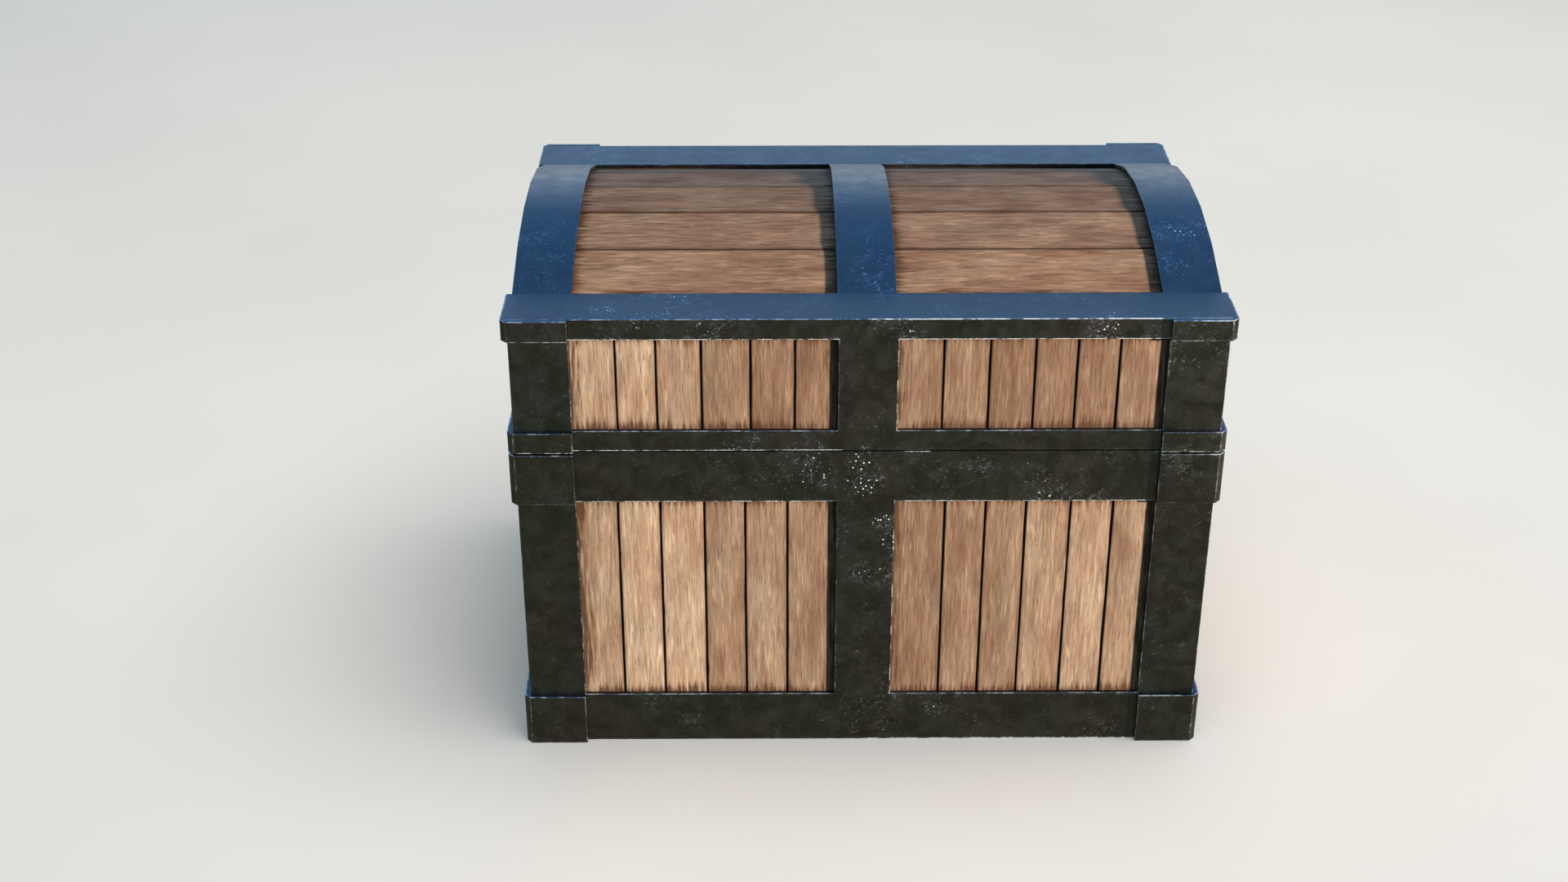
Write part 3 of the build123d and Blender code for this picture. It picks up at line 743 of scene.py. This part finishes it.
def rounded_path(corners, radius, step):
    """A line of straight runs with its corners rounded, as points, outward normals, run index,
    share of the run and length along the sharp line."""
    corners = np.asarray(corners, float)
    runs = np.diff(corners, axis=0)
    lengths = np.linalg.norm(runs, axis=1)
    directions = runs / lengths[:, None]
    normals = np.stack([-directions[:, 1], directions[:, 0]], axis=1)
    starts = np.concatenate([[0], np.cumsum(lengths)])
    points, outs, index, share = [], [], [], []
    for i, length in enumerate(lengths):
        cut = []
        for j in (i, i + 1):
            inner = 0 < j < len(lengths)
            half = 0.5 * np.arccos(np.clip(directions[j - 1] @ directions[j], -1, 1)) if inner else 0.0
            cut.append(min(radius * math.tan(half), 0.3 * length))
        places = spaced(cut[0], length - cut[1], step)
        points.append(corners[i] + places[:, None] * directions[i])
        outs.append(np.repeat(normals[i:i + 1], len(places), axis=0))
        index.append(np.full(len(places), i))
        share.append(places / length)
        if i + 1 < len(lengths):
            a, b = points[-1][-1], corners[i + 1] + cut[1] * directions[i + 1]
            t = np.array([0.25, 0.5, 0.75])[:, None]
            points.append((1 - t) ** 2 * a + 2 * t * (1 - t) * corners[i + 1] + t ** 2 * b)
            mixed = (1 - t) * normals[i] + t * normals[i + 1]
            outs.append(mixed / np.linalg.norm(mixed, axis=1)[:, None])
            index.append(np.array([i, i, i + 1]))
            share.append(np.array([1.0, 1.0, 0.0]))
    index, share = np.concatenate(index), np.concatenate(share)
    length = starts[index] + share * lengths[index]
    return np.concatenate(points), np.concatenate(outs), index, share, length


# Gap of the places that have no opening nearer.
FAR_FROM_EDGES = 100 * MM


def opening_gap(a, w, openings):
    """Distance from each point to the nearest opening (a0, a1, w0, w1, wear), and that opening's wear."""
    gap = np.full(np.broadcast(a, w).shape, FAR_FROM_EDGES)
    wear = np.zeros(gap.shape)
    for a0, a1, w0, w1, rubbed in openings:
        da = np.maximum(np.maximum(a0 - a, a - a1), 0)
        dw = np.maximum(np.maximum(w0 - w, w - w1), 0)
        distance = np.hypot(da, dw)
        wear = np.where(distance < gap, rubbed, wear)
        gap = np.minimum(gap, distance)
    return gap, wear


# Scuffed places of the front: X, Y, Z, radius in metres and strength.
SCUFFS = np.array([
    (-0.005, -0.30, 0.425, 0.022, 1.00), (0.004, -0.30, 0.392, 0.022, 1.10),
    (0.022, -0.30, 0.343, 0.018, 1.60), (0.034, -0.30, 0.31, 0.016, 1.70),
    (0.034, -0.30, 0.262, 0.014, 1.10), (-0.01, -0.30, 0.262, 0.016, 0.80),
    (0.013, -0.30, 0.484, 0.018, 0.60), (0.143, -0.30, 0.402, 0.045, 0.45),
    (0.205, -0.30, 0.41, 0.03, 0.40), (-0.065, -0.30, 0.42, 0.035, 0.45),
    (0.285, -0.30, 0.615, 0.016, 0.80), (-0.262, -0.28, 0.626, 0.03, 0.50),
    (0.045, -0.30, 0.617, 0.015, 0.60), (-0.282, -0.30, 0.617, 0.016, 0.60),
    (0.005, -0.30, 0.617, 0.014, 0.50), (0.405, -0.10, 0.65, 0.045, 0.60), (0.40, -0.19, 0.64, 0.04, 0.60),
    (0.01, -0.17, 0.645, 0.03, 0.25), (0.13, -0.30, 0.035, 0.04, 0.35), (0.395, -0.30, 0.43, 0.025, 0.50),
    (-0.34, -0.26, 0.626, 0.03, 0.40), (0.10, -0.26, 0.626, 0.03, 0.45), (-0.10, -0.27, 0.626, 0.03, 0.40),
    (0.30, -0.27, 0.626, 0.03, 0.40), (-0.40, -0.14, 0.65, 0.03, 0.40), (0.01, -0.22, 0.63, 0.02, 0.20)])


def scuff_at(points):
    """Sum of the scuffs' bells, strength * exp(-(distance / radius)^2)."""
    total = np.zeros(len(points))
    for x, y, z, radius, strength in SCUFFS:
        away = np.sum((points - (x, y, z)) ** 2, axis=1)
        total += strength * np.exp(-away / radius ** 2)
    return total


def plate_shell(corners, back, width, place, openings, breaks=(), bend=1.2 * MM, rubs=()):
    """A flat or bent plate of bar: its outer line, with rounded bends, drawn out across its width.

    The outer face is a grid over (length along the line, place across); it falls away towards each
    free edge by a quarter round, r - sqrt(r^2 - (r - gap)^2), and sinks in shallow hammered hollows.
    Side walls run from its border to the back line, and strips across the back close it. Rubs are
    worn lines that aren't edges, in the same terms as the openings."""
    s = bpy.context.scene.trunk_iron
    points, normals, index, share, length = rounded_path(corners, bend, s.cell)
    back = np.asarray(back, float)
    under = back[index] + share[:, None] * (back[index + 1] - back[index])
    w = spaced(width[0], width[1], s.cell, breaks)
    rows, columns = len(points), len(w)
    a = np.broadcast_to(length[:, None], (rows, columns))
    across = np.broadcast_to(w[None, :], (rows, columns))
    gap, wear = opening_gap(a, across, openings)
    rub_gap, rub_wear = opening_gap(a, across, rubs)
    worn_gap = np.minimum(gap, rub_gap)
    wear = np.where(rub_gap < gap, rub_wear, wear)
    flat = place(points[:, None, :] + np.zeros((1, columns, 1)), across)
    chip = np.clip(lattice_noise(flat / (17 * MM), 37) - 0.45, 0, 1)
    radius = s.arris_radius * (1 + 0.55 * lattice_noise(flat / (6 * MM), 31) + 1.3 * chip)
    rim = np.clip(radius - gap, 0, radius)
    drop = radius - np.sqrt(np.maximum(radius ** 2 - rim ** 2, 0))
    hollow = 0.5 + 0.3 * lattice_noise(flat / (45 * MM), 41) + 0.2 * lattice_noise(flat / (16 * MM), 43)
    sunk = drop + s.unevenness * hollow * np.clip(gap / (2 * MM), 0, 1)
    top = place(points[:, None, :] - sunk[..., None] * normals[:, None, :], across)
    # the side walls in two bands, from the face's border to a ring halfway and one on the back
    number = np.arange(rows * columns).reshape(rows, columns)
    border = np.concatenate([number[0, :-1], number[:-1, -1], number[-1, :0:-1], number[:0:-1, 0]])
    br, bc = border // columns, border % columns
    middle = place((points[br] + under[br]) / 2, w[bc])
    bottom = place(under[br], w[bc])
    base, size = rows * columns, len(border)
    step = np.arange(size)
    after = (step + 1) % size
    walls = np.concatenate([
        np.stack([border[step], border[after], base + after, base + step], axis=1),
        np.stack([base + step, base + after, base + size + after, base + size + step], axis=1)])
    # the back in strips from side to side, and the two end polygons
    under_ring = np.zeros(base, int)
    under_ring[border] = base + size + step
    left, right = under_ring[number[:, 0]], under_ring[number[:, -1]]
    strips = np.stack([left[1:-2], right[1:-2], right[2:-1], left[2:-1]], axis=1)
    first = [*under_ring[number[0]].tolist(), int(right[1]), int(left[1])]
    final = [*under_ring[number[-1]].tolist(), int(right[-2]), int(left[-2])]
    co = np.concatenate([top.reshape(-1, 3), middle, bottom])
    return {"co": co,
            "quads": np.concatenate([grid_quads(rows, columns), walls, strips]),
            "ends": [first, final],
            "values": {"edge_gap": np.concatenate([
                           worn_gap.ravel(), gap[br, bc] + PLATE / 2, gap[br, bc] + PLATE]),
                       "edge_wear": np.concatenate([wear.ravel(), wear[br, bc], wear[br, bc]]),
                       "scuff": scuff_at(co)}}


def plan_of(side_x, side_y):
    """Places an outline in plan (X, Y) at one of the four corners; its width runs up Z."""
    def place(p, w):
        return np.stack([side_x * p[..., 0], side_y * p[..., 1], w], axis=-1)
    return place


def profile_of(side):
    """Places a section in (Y, Z) on the front (1) or the back (-1); its width runs along X."""
    def place(p, w):
        return np.stack([w, side * p[..., 0], p[..., 1]], axis=-1)
    return place


def end_profile_of(side):
    """Places a section in (X, Z) on the left (1) or right (-1) end; its width runs along Y."""
    def place(p, w):
        return np.stack([side * p[..., 0], w, p[..., 1]], axis=-1)
    return place


# How far the rim rail stops short of the lid's, so that the seam shows.
SEAM_GAP = 1.6 * MM

# How rubbed the iron's edges are, from 0 to 1: the rails round the windows and along the free edge,
# then the front's free edges as from X, to X and how much, then the other bars.
WINDOW_WEAR = {"base": 0.35, "rim": 0.85, "lid": 0.40}
EDGE_WEAR = {"base": 0.45, "rim": 0.10, "lid": 0.55}
FRONT_EDGE_WEAR = {
    "lid": ((-FAR, -0.03, 0.85), (-0.03, FAR, 0.05)),
    "rim": ((-FAR, 0.045, 0.05), (0.045, 0.078, 0.95), (0.078, FAR, 0.10)),
    "base": ((-FAR, 0.0, 0.30), (0.0, FAR, 0.80)),
}
POST_WEAR = {"window": 0.35, "bend": 0.30}
STRAP_WEAR = (0.35, 0.50)
CORNICE_WEAR = {"window": 0.90, "staves": 0.12, "left bend": 0.35, "right bend": 0.75}
BAND_WEAR = 0.08
# The caps' lower edge, upper edge, ends and corner cut.
CAP_WEAR = {"base": (0.35, 0.40, 0.30, 0.30), "rim": (0.25, 0.50, 0.25, 0.25),
            "lid": (0.80, 0.35, 0.35, 0.35), "cornice": (0.60, 0.50, 0.30, 0.40)}


def flat_bar(face, z0, z1, width, place, openings, breaks=()):
    """An upright flat bar, its outer face standing at a distance from the trunk's middle."""
    return plate_shell([(-face, z0), (-face, z1)], [(PLATE - face, z0), (PLATE - face, z1)],
                       width, place, openings, breaks)


def iron_piece(name, shell, body, node, sharp=35.0):
    """A forged piece in place of its node."""
    return make_piece(name, shell, finish_of("forged_iron"), body, node, sharp)


class TRUNK_OT_rails(bpy.types.Operator):
    """Flat rails round the foot, the rim and the lid's edge"""
    bl_idname = "trunk.rails"
    bl_label = "Rails"

    def execute(self, context):
        for level, body in (("base", BODY), ("rim", BODY), ("lid", LID)):
            low, high = corners_of(f"{level}_rail_front")
            z0, z1 = float(low[2]), float(high[2])
            free = (-FAR, 0.0)
            if level == "rim":
                z1 -= SEAM_GAP
                free = (z1 - z0 + 0.5 * MM, FAR)
            window = [z - z0 for z in (LID_WINDOW_Z if level == "lid" else BODY_WINDOW_Z)]
            front = [(*window, *part, WINDOW_WEAR[level]) for part in FRONT_WINDOWS]
            end = [(*window, -POST_Y, POST_Y, WINDOW_WEAR[level])]
            edge = [(*free, -FAR, FAR, EDGE_WEAR[level])]
            front_edge = [(*free, *part) for part in FRONT_EDGE_WEAR[level]]
            wide, narrow = (-FRAME_X, FRAME_X), (PLATE - FRAME_Y, FRAME_Y - PLATE)
            for name, face, width, place, openings, breaks in (
                    ("front", FRAME_Y, wide, profile_of(1), front + front_edge, FRONT_BREAKS),
                    ("back", FRAME_Y, wide, profile_of(-1), front + edge, FRONT_BREAKS),
                    ("left", FRAME_X, narrow, end_profile_of(1), end + edge, (-POST_Y, POST_Y)),
                    ("right", FRAME_X, narrow, end_profile_of(-1), end + edge, (-POST_Y, POST_Y))):
                shell = flat_bar(face, z0, z1, width, place, openings, breaks)
                iron_piece(f"{level}_rail_{name}_bar", shell, body, f"{level}_rail_{name}")
        return {"FINISHED"}


class TRUNK_OT_posts(bpy.types.Operator):
    """Angle iron posts at the corners and flat straps up the middle"""
    bl_idname = "trunk.posts"
    bl_label = "Posts and straps"

    def execute(self, context):
        leg = FRAME_X - POST_X
        total = leg + FRAME_Y - POST_Y
        line = [(-POST_X, -FRAME_Y), (-FRAME_X, -FRAME_Y), (-FRAME_X, -POST_Y)]
        back = [(-POST_X, PLATE - FRAME_Y), (PLATE - FRAME_X, PLATE - FRAME_Y), (PLATE - FRAME_X, -POST_Y)]
        rubs = [(leg, leg, -FAR, FAR, POST_WEAR["bend"])]
        for level, body, (z0, z1) in LEVELS:
            openings = [(-FAR, 0.0, z0, z1, POST_WEAR["window"]), (total, FAR, z0, z1, POST_WEAR["window"])]
            for side_x, side_y in CORNERS:
                node = f"{level}_post_{'front' if side_y > 0 else 'back'}_{'left' if side_x > 0 else 'right'}"
                shell = plate_shell(line, back, (z0, z1), plan_of(side_x, side_y), openings, rubs=rubs)
                iron_piece(f"{node}_angle", shell, body, node)
            openings = [(0.0, z1 - z0, *part, wear) for part, wear in zip(FRONT_WINDOWS, STRAP_WEAR)]
            for name, side in FRONT_AND_BACK:
                shell = flat_bar(FRAME_Y, z0, z1, (-STRAP_X, STRAP_X), profile_of(side), openings)
                iron_piece(f"{level}_strap_{name}_bar", shell, body, f"{level}_strap_{name}")
        return {"FINISHED"}


def corner_cut(node):
    """Length of the flat cut off a cap's upright corner, read from its mesh."""
    points = mesh_points(node)
    low, high = corners_of(node)
    front = points[np.abs(points[:, 1] - low[1]) < 0.05 * MM]
    return float(high[0] - front[:, 0].max())


class TRUNK_OT_corner_caps(bpy.types.Operator):
    """Cuffs round the corners at the foot, the rim, the lid's edge and the cornice"""
    bl_idname = "trunk.corner_caps"
    bl_label = "Corner caps"

    def execute(self, context):
        for level, body in (("base", BODY), ("rim", BODY), ("lid", LID), ("cornice", LID)):
            node = f"{level}_corner_caps"
            low, high = corners_of(node)
            cap_x, cap_y, cut = float(high[0]), float(high[1]), corner_cut(node)
            z0, z1 = float(low[2]), float(high[2])
            reach = DOME_Y if level == "cornice" else POST_Y
            line = [(-POST_X, -cap_y), (cut - cap_x, -cap_y), (-cap_x, cut - cap_y), (-cap_x, -reach)]
            back = [(-POST_X, -FRAME_Y), (MM / 2 - FRAME_X, -FRAME_Y),
                    (-FRAME_X, MM / 2 - FRAME_Y), (-FRAME_X, -reach)]
            bends = np.cumsum(np.linalg.norm(np.diff(np.array(line), axis=0), axis=1)).tolist()
            total = bends.pop()
            under, over, ends, cuts = CAP_WEAR[level]
            openings = [(-FAR, 0.0, -FAR, FAR, ends), (total, FAR, -FAR, FAR, ends),
                        (-FAR, FAR, -FAR, z0, under), (-FAR, FAR, z1, FAR, over)]
            rubs = [(bend, bend, -FAR, FAR, cuts) for bend in bends]
            iron_piece(f"{level}_corner_cuffs", join([
                plate_shell(line, back, (z0, z1), plan_of(*corner), openings, bend=0.6 * MM, rubs=rubs)
                for corner in CORNERS]), body, node)
        return {"FINISHED"}


def soften_facets(piece, line):
    """Turns the normals about X so that the facets of a band shade as one smooth arc.

    Between two facets' middles the slope runs linearly with Y instead of stepping at the bend."""
    mesh = piece.data
    runs = np.diff(line, axis=0)
    slopes = np.arctan2(runs[:, 1], runs[:, 0])
    middles = (line[:-1, 0] + line[1:, 0]) / 2
    points = np.zeros(len(mesh.vertices) * 3, np.float32)
    normals = np.zeros(len(mesh.vertices) * 3, np.float32)
    mesh.vertices.foreach_get("co", points)
    mesh.vertex_normals.foreach_get("vector", normals)
    y = points.reshape(-1, 3)[:, 1].astype(float)
    nx, ny, nz = normals.reshape(-1, 3).astype(float).T
    bends = np.concatenate([[-FAR], *[(b - MM, b + MM) for b in line[1:-1, 0]], [FAR]])
    own = np.interp(y, bends, np.repeat(slopes, 2))
    turn = np.interp(y, middles, slopes) - own
    cos, sin = np.cos(turn), np.sin(turn)
    turned = np.stack([nx, ny * cos - nz * sin, ny * sin + nz * cos], axis=1)
    mesh.normals_split_custom_set_from_vertices(turned.tolist())


class TRUNK_OT_dome_iron(bpy.types.Operator):
    """Cornice angles that make the ledges, and the three arch bands over the staves"""
    bl_idname = "trunk.dome_iron"
    bl_label = "Cornice and arch bands"

    def execute(self, context):
        z0, z1 = float(CORNICE_LOW[2]), LEDGE_Z
        upright, ledge = z1 - z0, FRAME_Y - DOME_Y
        line = [(-FRAME_Y, z0), (-FRAME_Y, z1), (-DOME_Y, z1)]
        back = [(PLATE - FRAME_Y, z0), (PLATE - FRAME_Y, z1 - PLATE), (-DOME_Y, z1 - PLATE)]
        openings = [(low, high, *part, wear) for low, high, wear in
                    ((-FAR, 0.0, CORNICE_WEAR["window"]), (upright + ledge, FAR, CORNICE_WEAR["staves"]))
                    for part in FRONT_WINDOWS]
        rubs = [(upright, upright, -FAR, 0.0, CORNICE_WEAR["left bend"]),
                (upright, upright, 0.0, FAR, CORNICE_WEAR["right bend"])]
        for name, side in FRONT_AND_BACK:
            shell = plate_shell(line, back, (-FRAME_X, FRAME_X), profile_of(side), openings,
                                FRONT_BREAKS, rubs=rubs)
            iron_piece(f"cornice_{name}_angle", shell, LID, f"cornice_{name}")
        band = moved_out(STAVE_LINE, PLATE)
        for name in ("left", "centre", "right"):
            low, high = corners_of(f"arch_band_{name}")
            x0, x1 = float(low[0]), float(high[0])
            openings = [(-FAR, FAR, -FAR, x0, BAND_WEAR), (-FAR, FAR, x1, FAR, BAND_WEAR)]
            shell = plate_shell(band, STAVE_LINE, (x0, x1), profile_of(1), openings)
            piece = iron_piece(f"arch_band_{name}_bar", shell, LID, f"arch_band_{name}", sharp=180.0)
            soften_facets(piece, band)
        return {"FINISHED"}


class TRUNK_OT_fittings(bpy.types.Operator):
    """End plates, hinges, pins and screws"""
    bl_idname = "trunk.fittings"
    bl_label = "Fittings"

    def execute(self, context):
        for side in ("left", "right"):
            for part in ("end_plate", "hinge_body_leaf", "hinge_lid_leaf"):
                dress(f"{part}_{side}", "iron_fitting")
        for node in ("hinge_pins", "hinge_body_screws", "hinge_lid_screws"):
            dress(node, "drawn_steel")
        return {"FINISHED"}


# ------------------------------------------------------------------ floor, lights and camera
def area_light(name, place, target, size, power, colour):
    """A soft square light aimed at a point."""
    light = bpy.data.lights.new(name, "AREA")
    light.shape = "SQUARE"
    light.size = size
    light.energy = power
    light.color = colour
    lamp = bpy.data.objects.new(name, light)
    bpy.context.scene.collection.objects.link(lamp)
    lamp.location = place
    aim = Vector(target) - Vector(place)
    lamp.rotation_euler = aim.to_track_quat("-Z", "Y").to_euler()
    return lamp


# Light that polished faces see, from straight below (0) over the horizon (0.5) to straight above (1).
SKY = ((0.00, (0.25, 0.26, 0.20)), (0.46, (0.25, 0.26, 0.20)), (0.51, (1.18, 1.38, 1.62)),
       (0.60, (1.18, 1.60, 2.16)), (0.67, (0.86, 1.60, 2.48)), (0.705, (0.0, 0.28, 1.16)),
       (0.85, (0.27, 0.92, 2.70)), (1.00, (0.20, 0.70, 2.20)))


def room_world(above, below):
    """Even light for matt surfaces, a sky over dark ground for polished ones, pale for the camera."""
    world = bpy.data.worlds.new("room")
    world.use_nodes = True
    world.cycles.sampling_method = "NONE"
    tree = world.node_tree
    tree.nodes.clear()
    add, link = tree.nodes.new, tree.links.new
    place = add("ShaderNodeTexCoord")
    split = add("ShaderNodeSeparateXYZ")
    height = add("ShaderNodeMapRange")
    height.inputs["From Min"].default_value = -1.0
    link(place.outputs["Generated"], split.inputs[0])
    link(split.outputs["Z"], height.inputs["Value"])

    def gradient(stops):
        ramp = add("ShaderNodeValToRGB")
        marks = ramp.color_ramp.elements
        for mark, (position, colour) in zip(marks, (stops[0], stops[-1])):
            mark.position, mark.color = position, rgba(colour)
        for position, colour in stops[1:-1]:
            marks.new(position).color = rgba(colour)
        link(height.outputs[0], ramp.inputs["Fac"])
        back = add("ShaderNodeBackground")
        link(ramp.outputs["Color"], back.inputs["Color"])
        return back.outputs[0]

    even = gradient(((0.0, below), (0.50, below), (0.72, above), (1.0, above)))
    sky = gradient(SKY)
    seen = gradient(((0.0, (0.60, 0.60, 0.58)), (1.0, (0.78, 0.79, 0.80))))
    path = add("ShaderNodeLightPath")
    result = even
    for flag, other in (("Is Glossy Ray", sky), ("Is Camera Ray", seen)):
        mix = add("ShaderNodeMixShader")
        link(path.outputs[flag], mix.inputs["Fac"])
        link(result, mix.inputs[1])
        link(other, mix.inputs[2])
        result = mix.outputs[0]
    link(result, add("ShaderNodeOutputWorld").inputs["Surface"])
    bpy.context.scene.world = world


def light_only(lamp, name, things, state):
    """Links a light so that it reaches only the things (INCLUDE) or all but them (EXCLUDE)."""
    group = bpy.data.collections.new(name)
    for thing in things:
        group.objects.link(thing)
    lamp.light_linking.receiver_collection = group
    for linked in group.collection_objects:
        linked.light_linking.link_state = state


class TRUNK_OT_stage(bpy.types.Operator):
    """Plain pale floor, soft lights and the camera"""
    bl_idname = "trunk.stage"
    bl_label = "Stage"

    def execute(self, context):
        s = context.scene.trunk_stage
        data = bpy.data.cameras.new("camera")
        data.lens, data.sensor_width = s.lens, 36.0
        camera = bpy.data.objects.new("camera", data)
        context.scene.collection.objects.link(camera)
        camera.location = s.camera_place
        camera.rotation_euler = s.camera_turn
        context.scene.camera = camera
        context.scene.view_settings.view_transform = "Standard"

        half = s.floor_size / 2
        mesh = bpy.data.meshes.new("floor")
        mesh.from_pydata([(-half, -half, 0), (half, -half, 0), (half, half, 0), (-half, half, 0)],
                         [], [(0, 1, 2, 3)])
        floor = bpy.data.objects.new("floor", mesh)
        context.scene.collection.objects.link(floor)
        n = Nodes("pale_floor")
        shade = n.step(n.noise(n.object_place(), 1.1), 0.3, 0.7, 0.97, 1.02)
        n.shade({"Base Color": n.mix(1.0, rgba(s.floor_colour), shade, "MULTIPLY"),
                 "Roughness": 1.0, "Specular IOR Level": 0.0})
        mesh.materials.append(n.material)
        # the floor throws no light back and stays out of the iron's reflections
        floor.visible_diffuse = False
        floor.visible_glossy = False

        key = area_light("key", (10.07, -6.05, 2.98), (0, 0, 0.35), 0.8, s.key_power, (1.0, 0.90, 0.77))
        light_only(key, "not_keyed", [floor], "EXCLUDE")
        wide = area_light("wide", (2.0, -1.0, 9.0), (0, 0, 0), 9.0, s.floor_power, (1.0, 0.88, 0.80))
        light_only(wide, "floor_only", [floor], "INCLUDE")
        rear = area_light("rear", (-7.0, 9.0, 3.0), (0, 0, 0.3), 4.0, s.rear_power, (1.0, 0.93, 0.84))
        rear.visible_glossy = False
        light_only(rear, "not_from_rear", [floor, bpy.data.objects["dome_planks"]], "EXCLUDE")
        room_world(s.sky_fill, s.ground_fill)
        return {"FINISHED"}


# ------------------------------------------------------------------ panel and registration
BUILD_ORDER = (TRUNK_OT_wall_boards, TRUNK_OT_dome_staves, TRUNK_OT_inner_timber, TRUNK_OT_rails,
               TRUNK_OT_posts, TRUNK_OT_corner_caps, TRUNK_OT_dome_iron, TRUNK_OT_fittings,
               TRUNK_OT_stage)
SETTINGS = (("trunk_boards", TrunkBoardSettings), ("trunk_iron", TrunkIronSettings),
            ("trunk_stage", TrunkStageSettings))


class TRUNK_PT_panel(bpy.types.Panel):
    """Lists the trunk's pieces in build order"""
    bl_idname = "TRUNK_PT_panel"
    bl_label = "Iron-bound trunk"
    bl_space_type = "VIEW_3D"
    bl_region_type = "UI"
    bl_category = "Trunk"

    def draw(self, context):
        for name, group in SETTINGS:
            box = self.layout.box()
            for key in group.__annotations__:
                box.prop(getattr(context.scene, name), key)
        for operator in BUILD_ORDER:
            self.layout.operator(operator.bl_idname)


def register():
    """Registers the settings, the operators and the panel."""
    for name, group in SETTINGS:
        bpy.utils.register_class(group)
        setattr(bpy.types.Scene, name, PointerProperty(type=group))
    for operator in BUILD_ORDER:
        bpy.utils.register_class(operator)
    bpy.utils.register_class(TRUNK_PT_panel)


def unregister():
    """Takes away what register put in."""
    bpy.utils.unregister_class(TRUNK_PT_panel)
    for operator in reversed(BUILD_ORDER):
        bpy.utils.unregister_class(operator)
    for name, group in reversed(SETTINGS):
        delattr(bpy.types.Scene, name)
        bpy.utils.unregister_class(group)


def main():
    register()
    for operator in BUILD_ORDER:
        space, name = operator.bl_idname.split(".")
        if getattr(getattr(bpy.ops, space), name)() != {"FINISHED"}:
            raise RuntimeError(f"{operator.bl_label} did not finish")


if __name__ == "__main__":
    main()
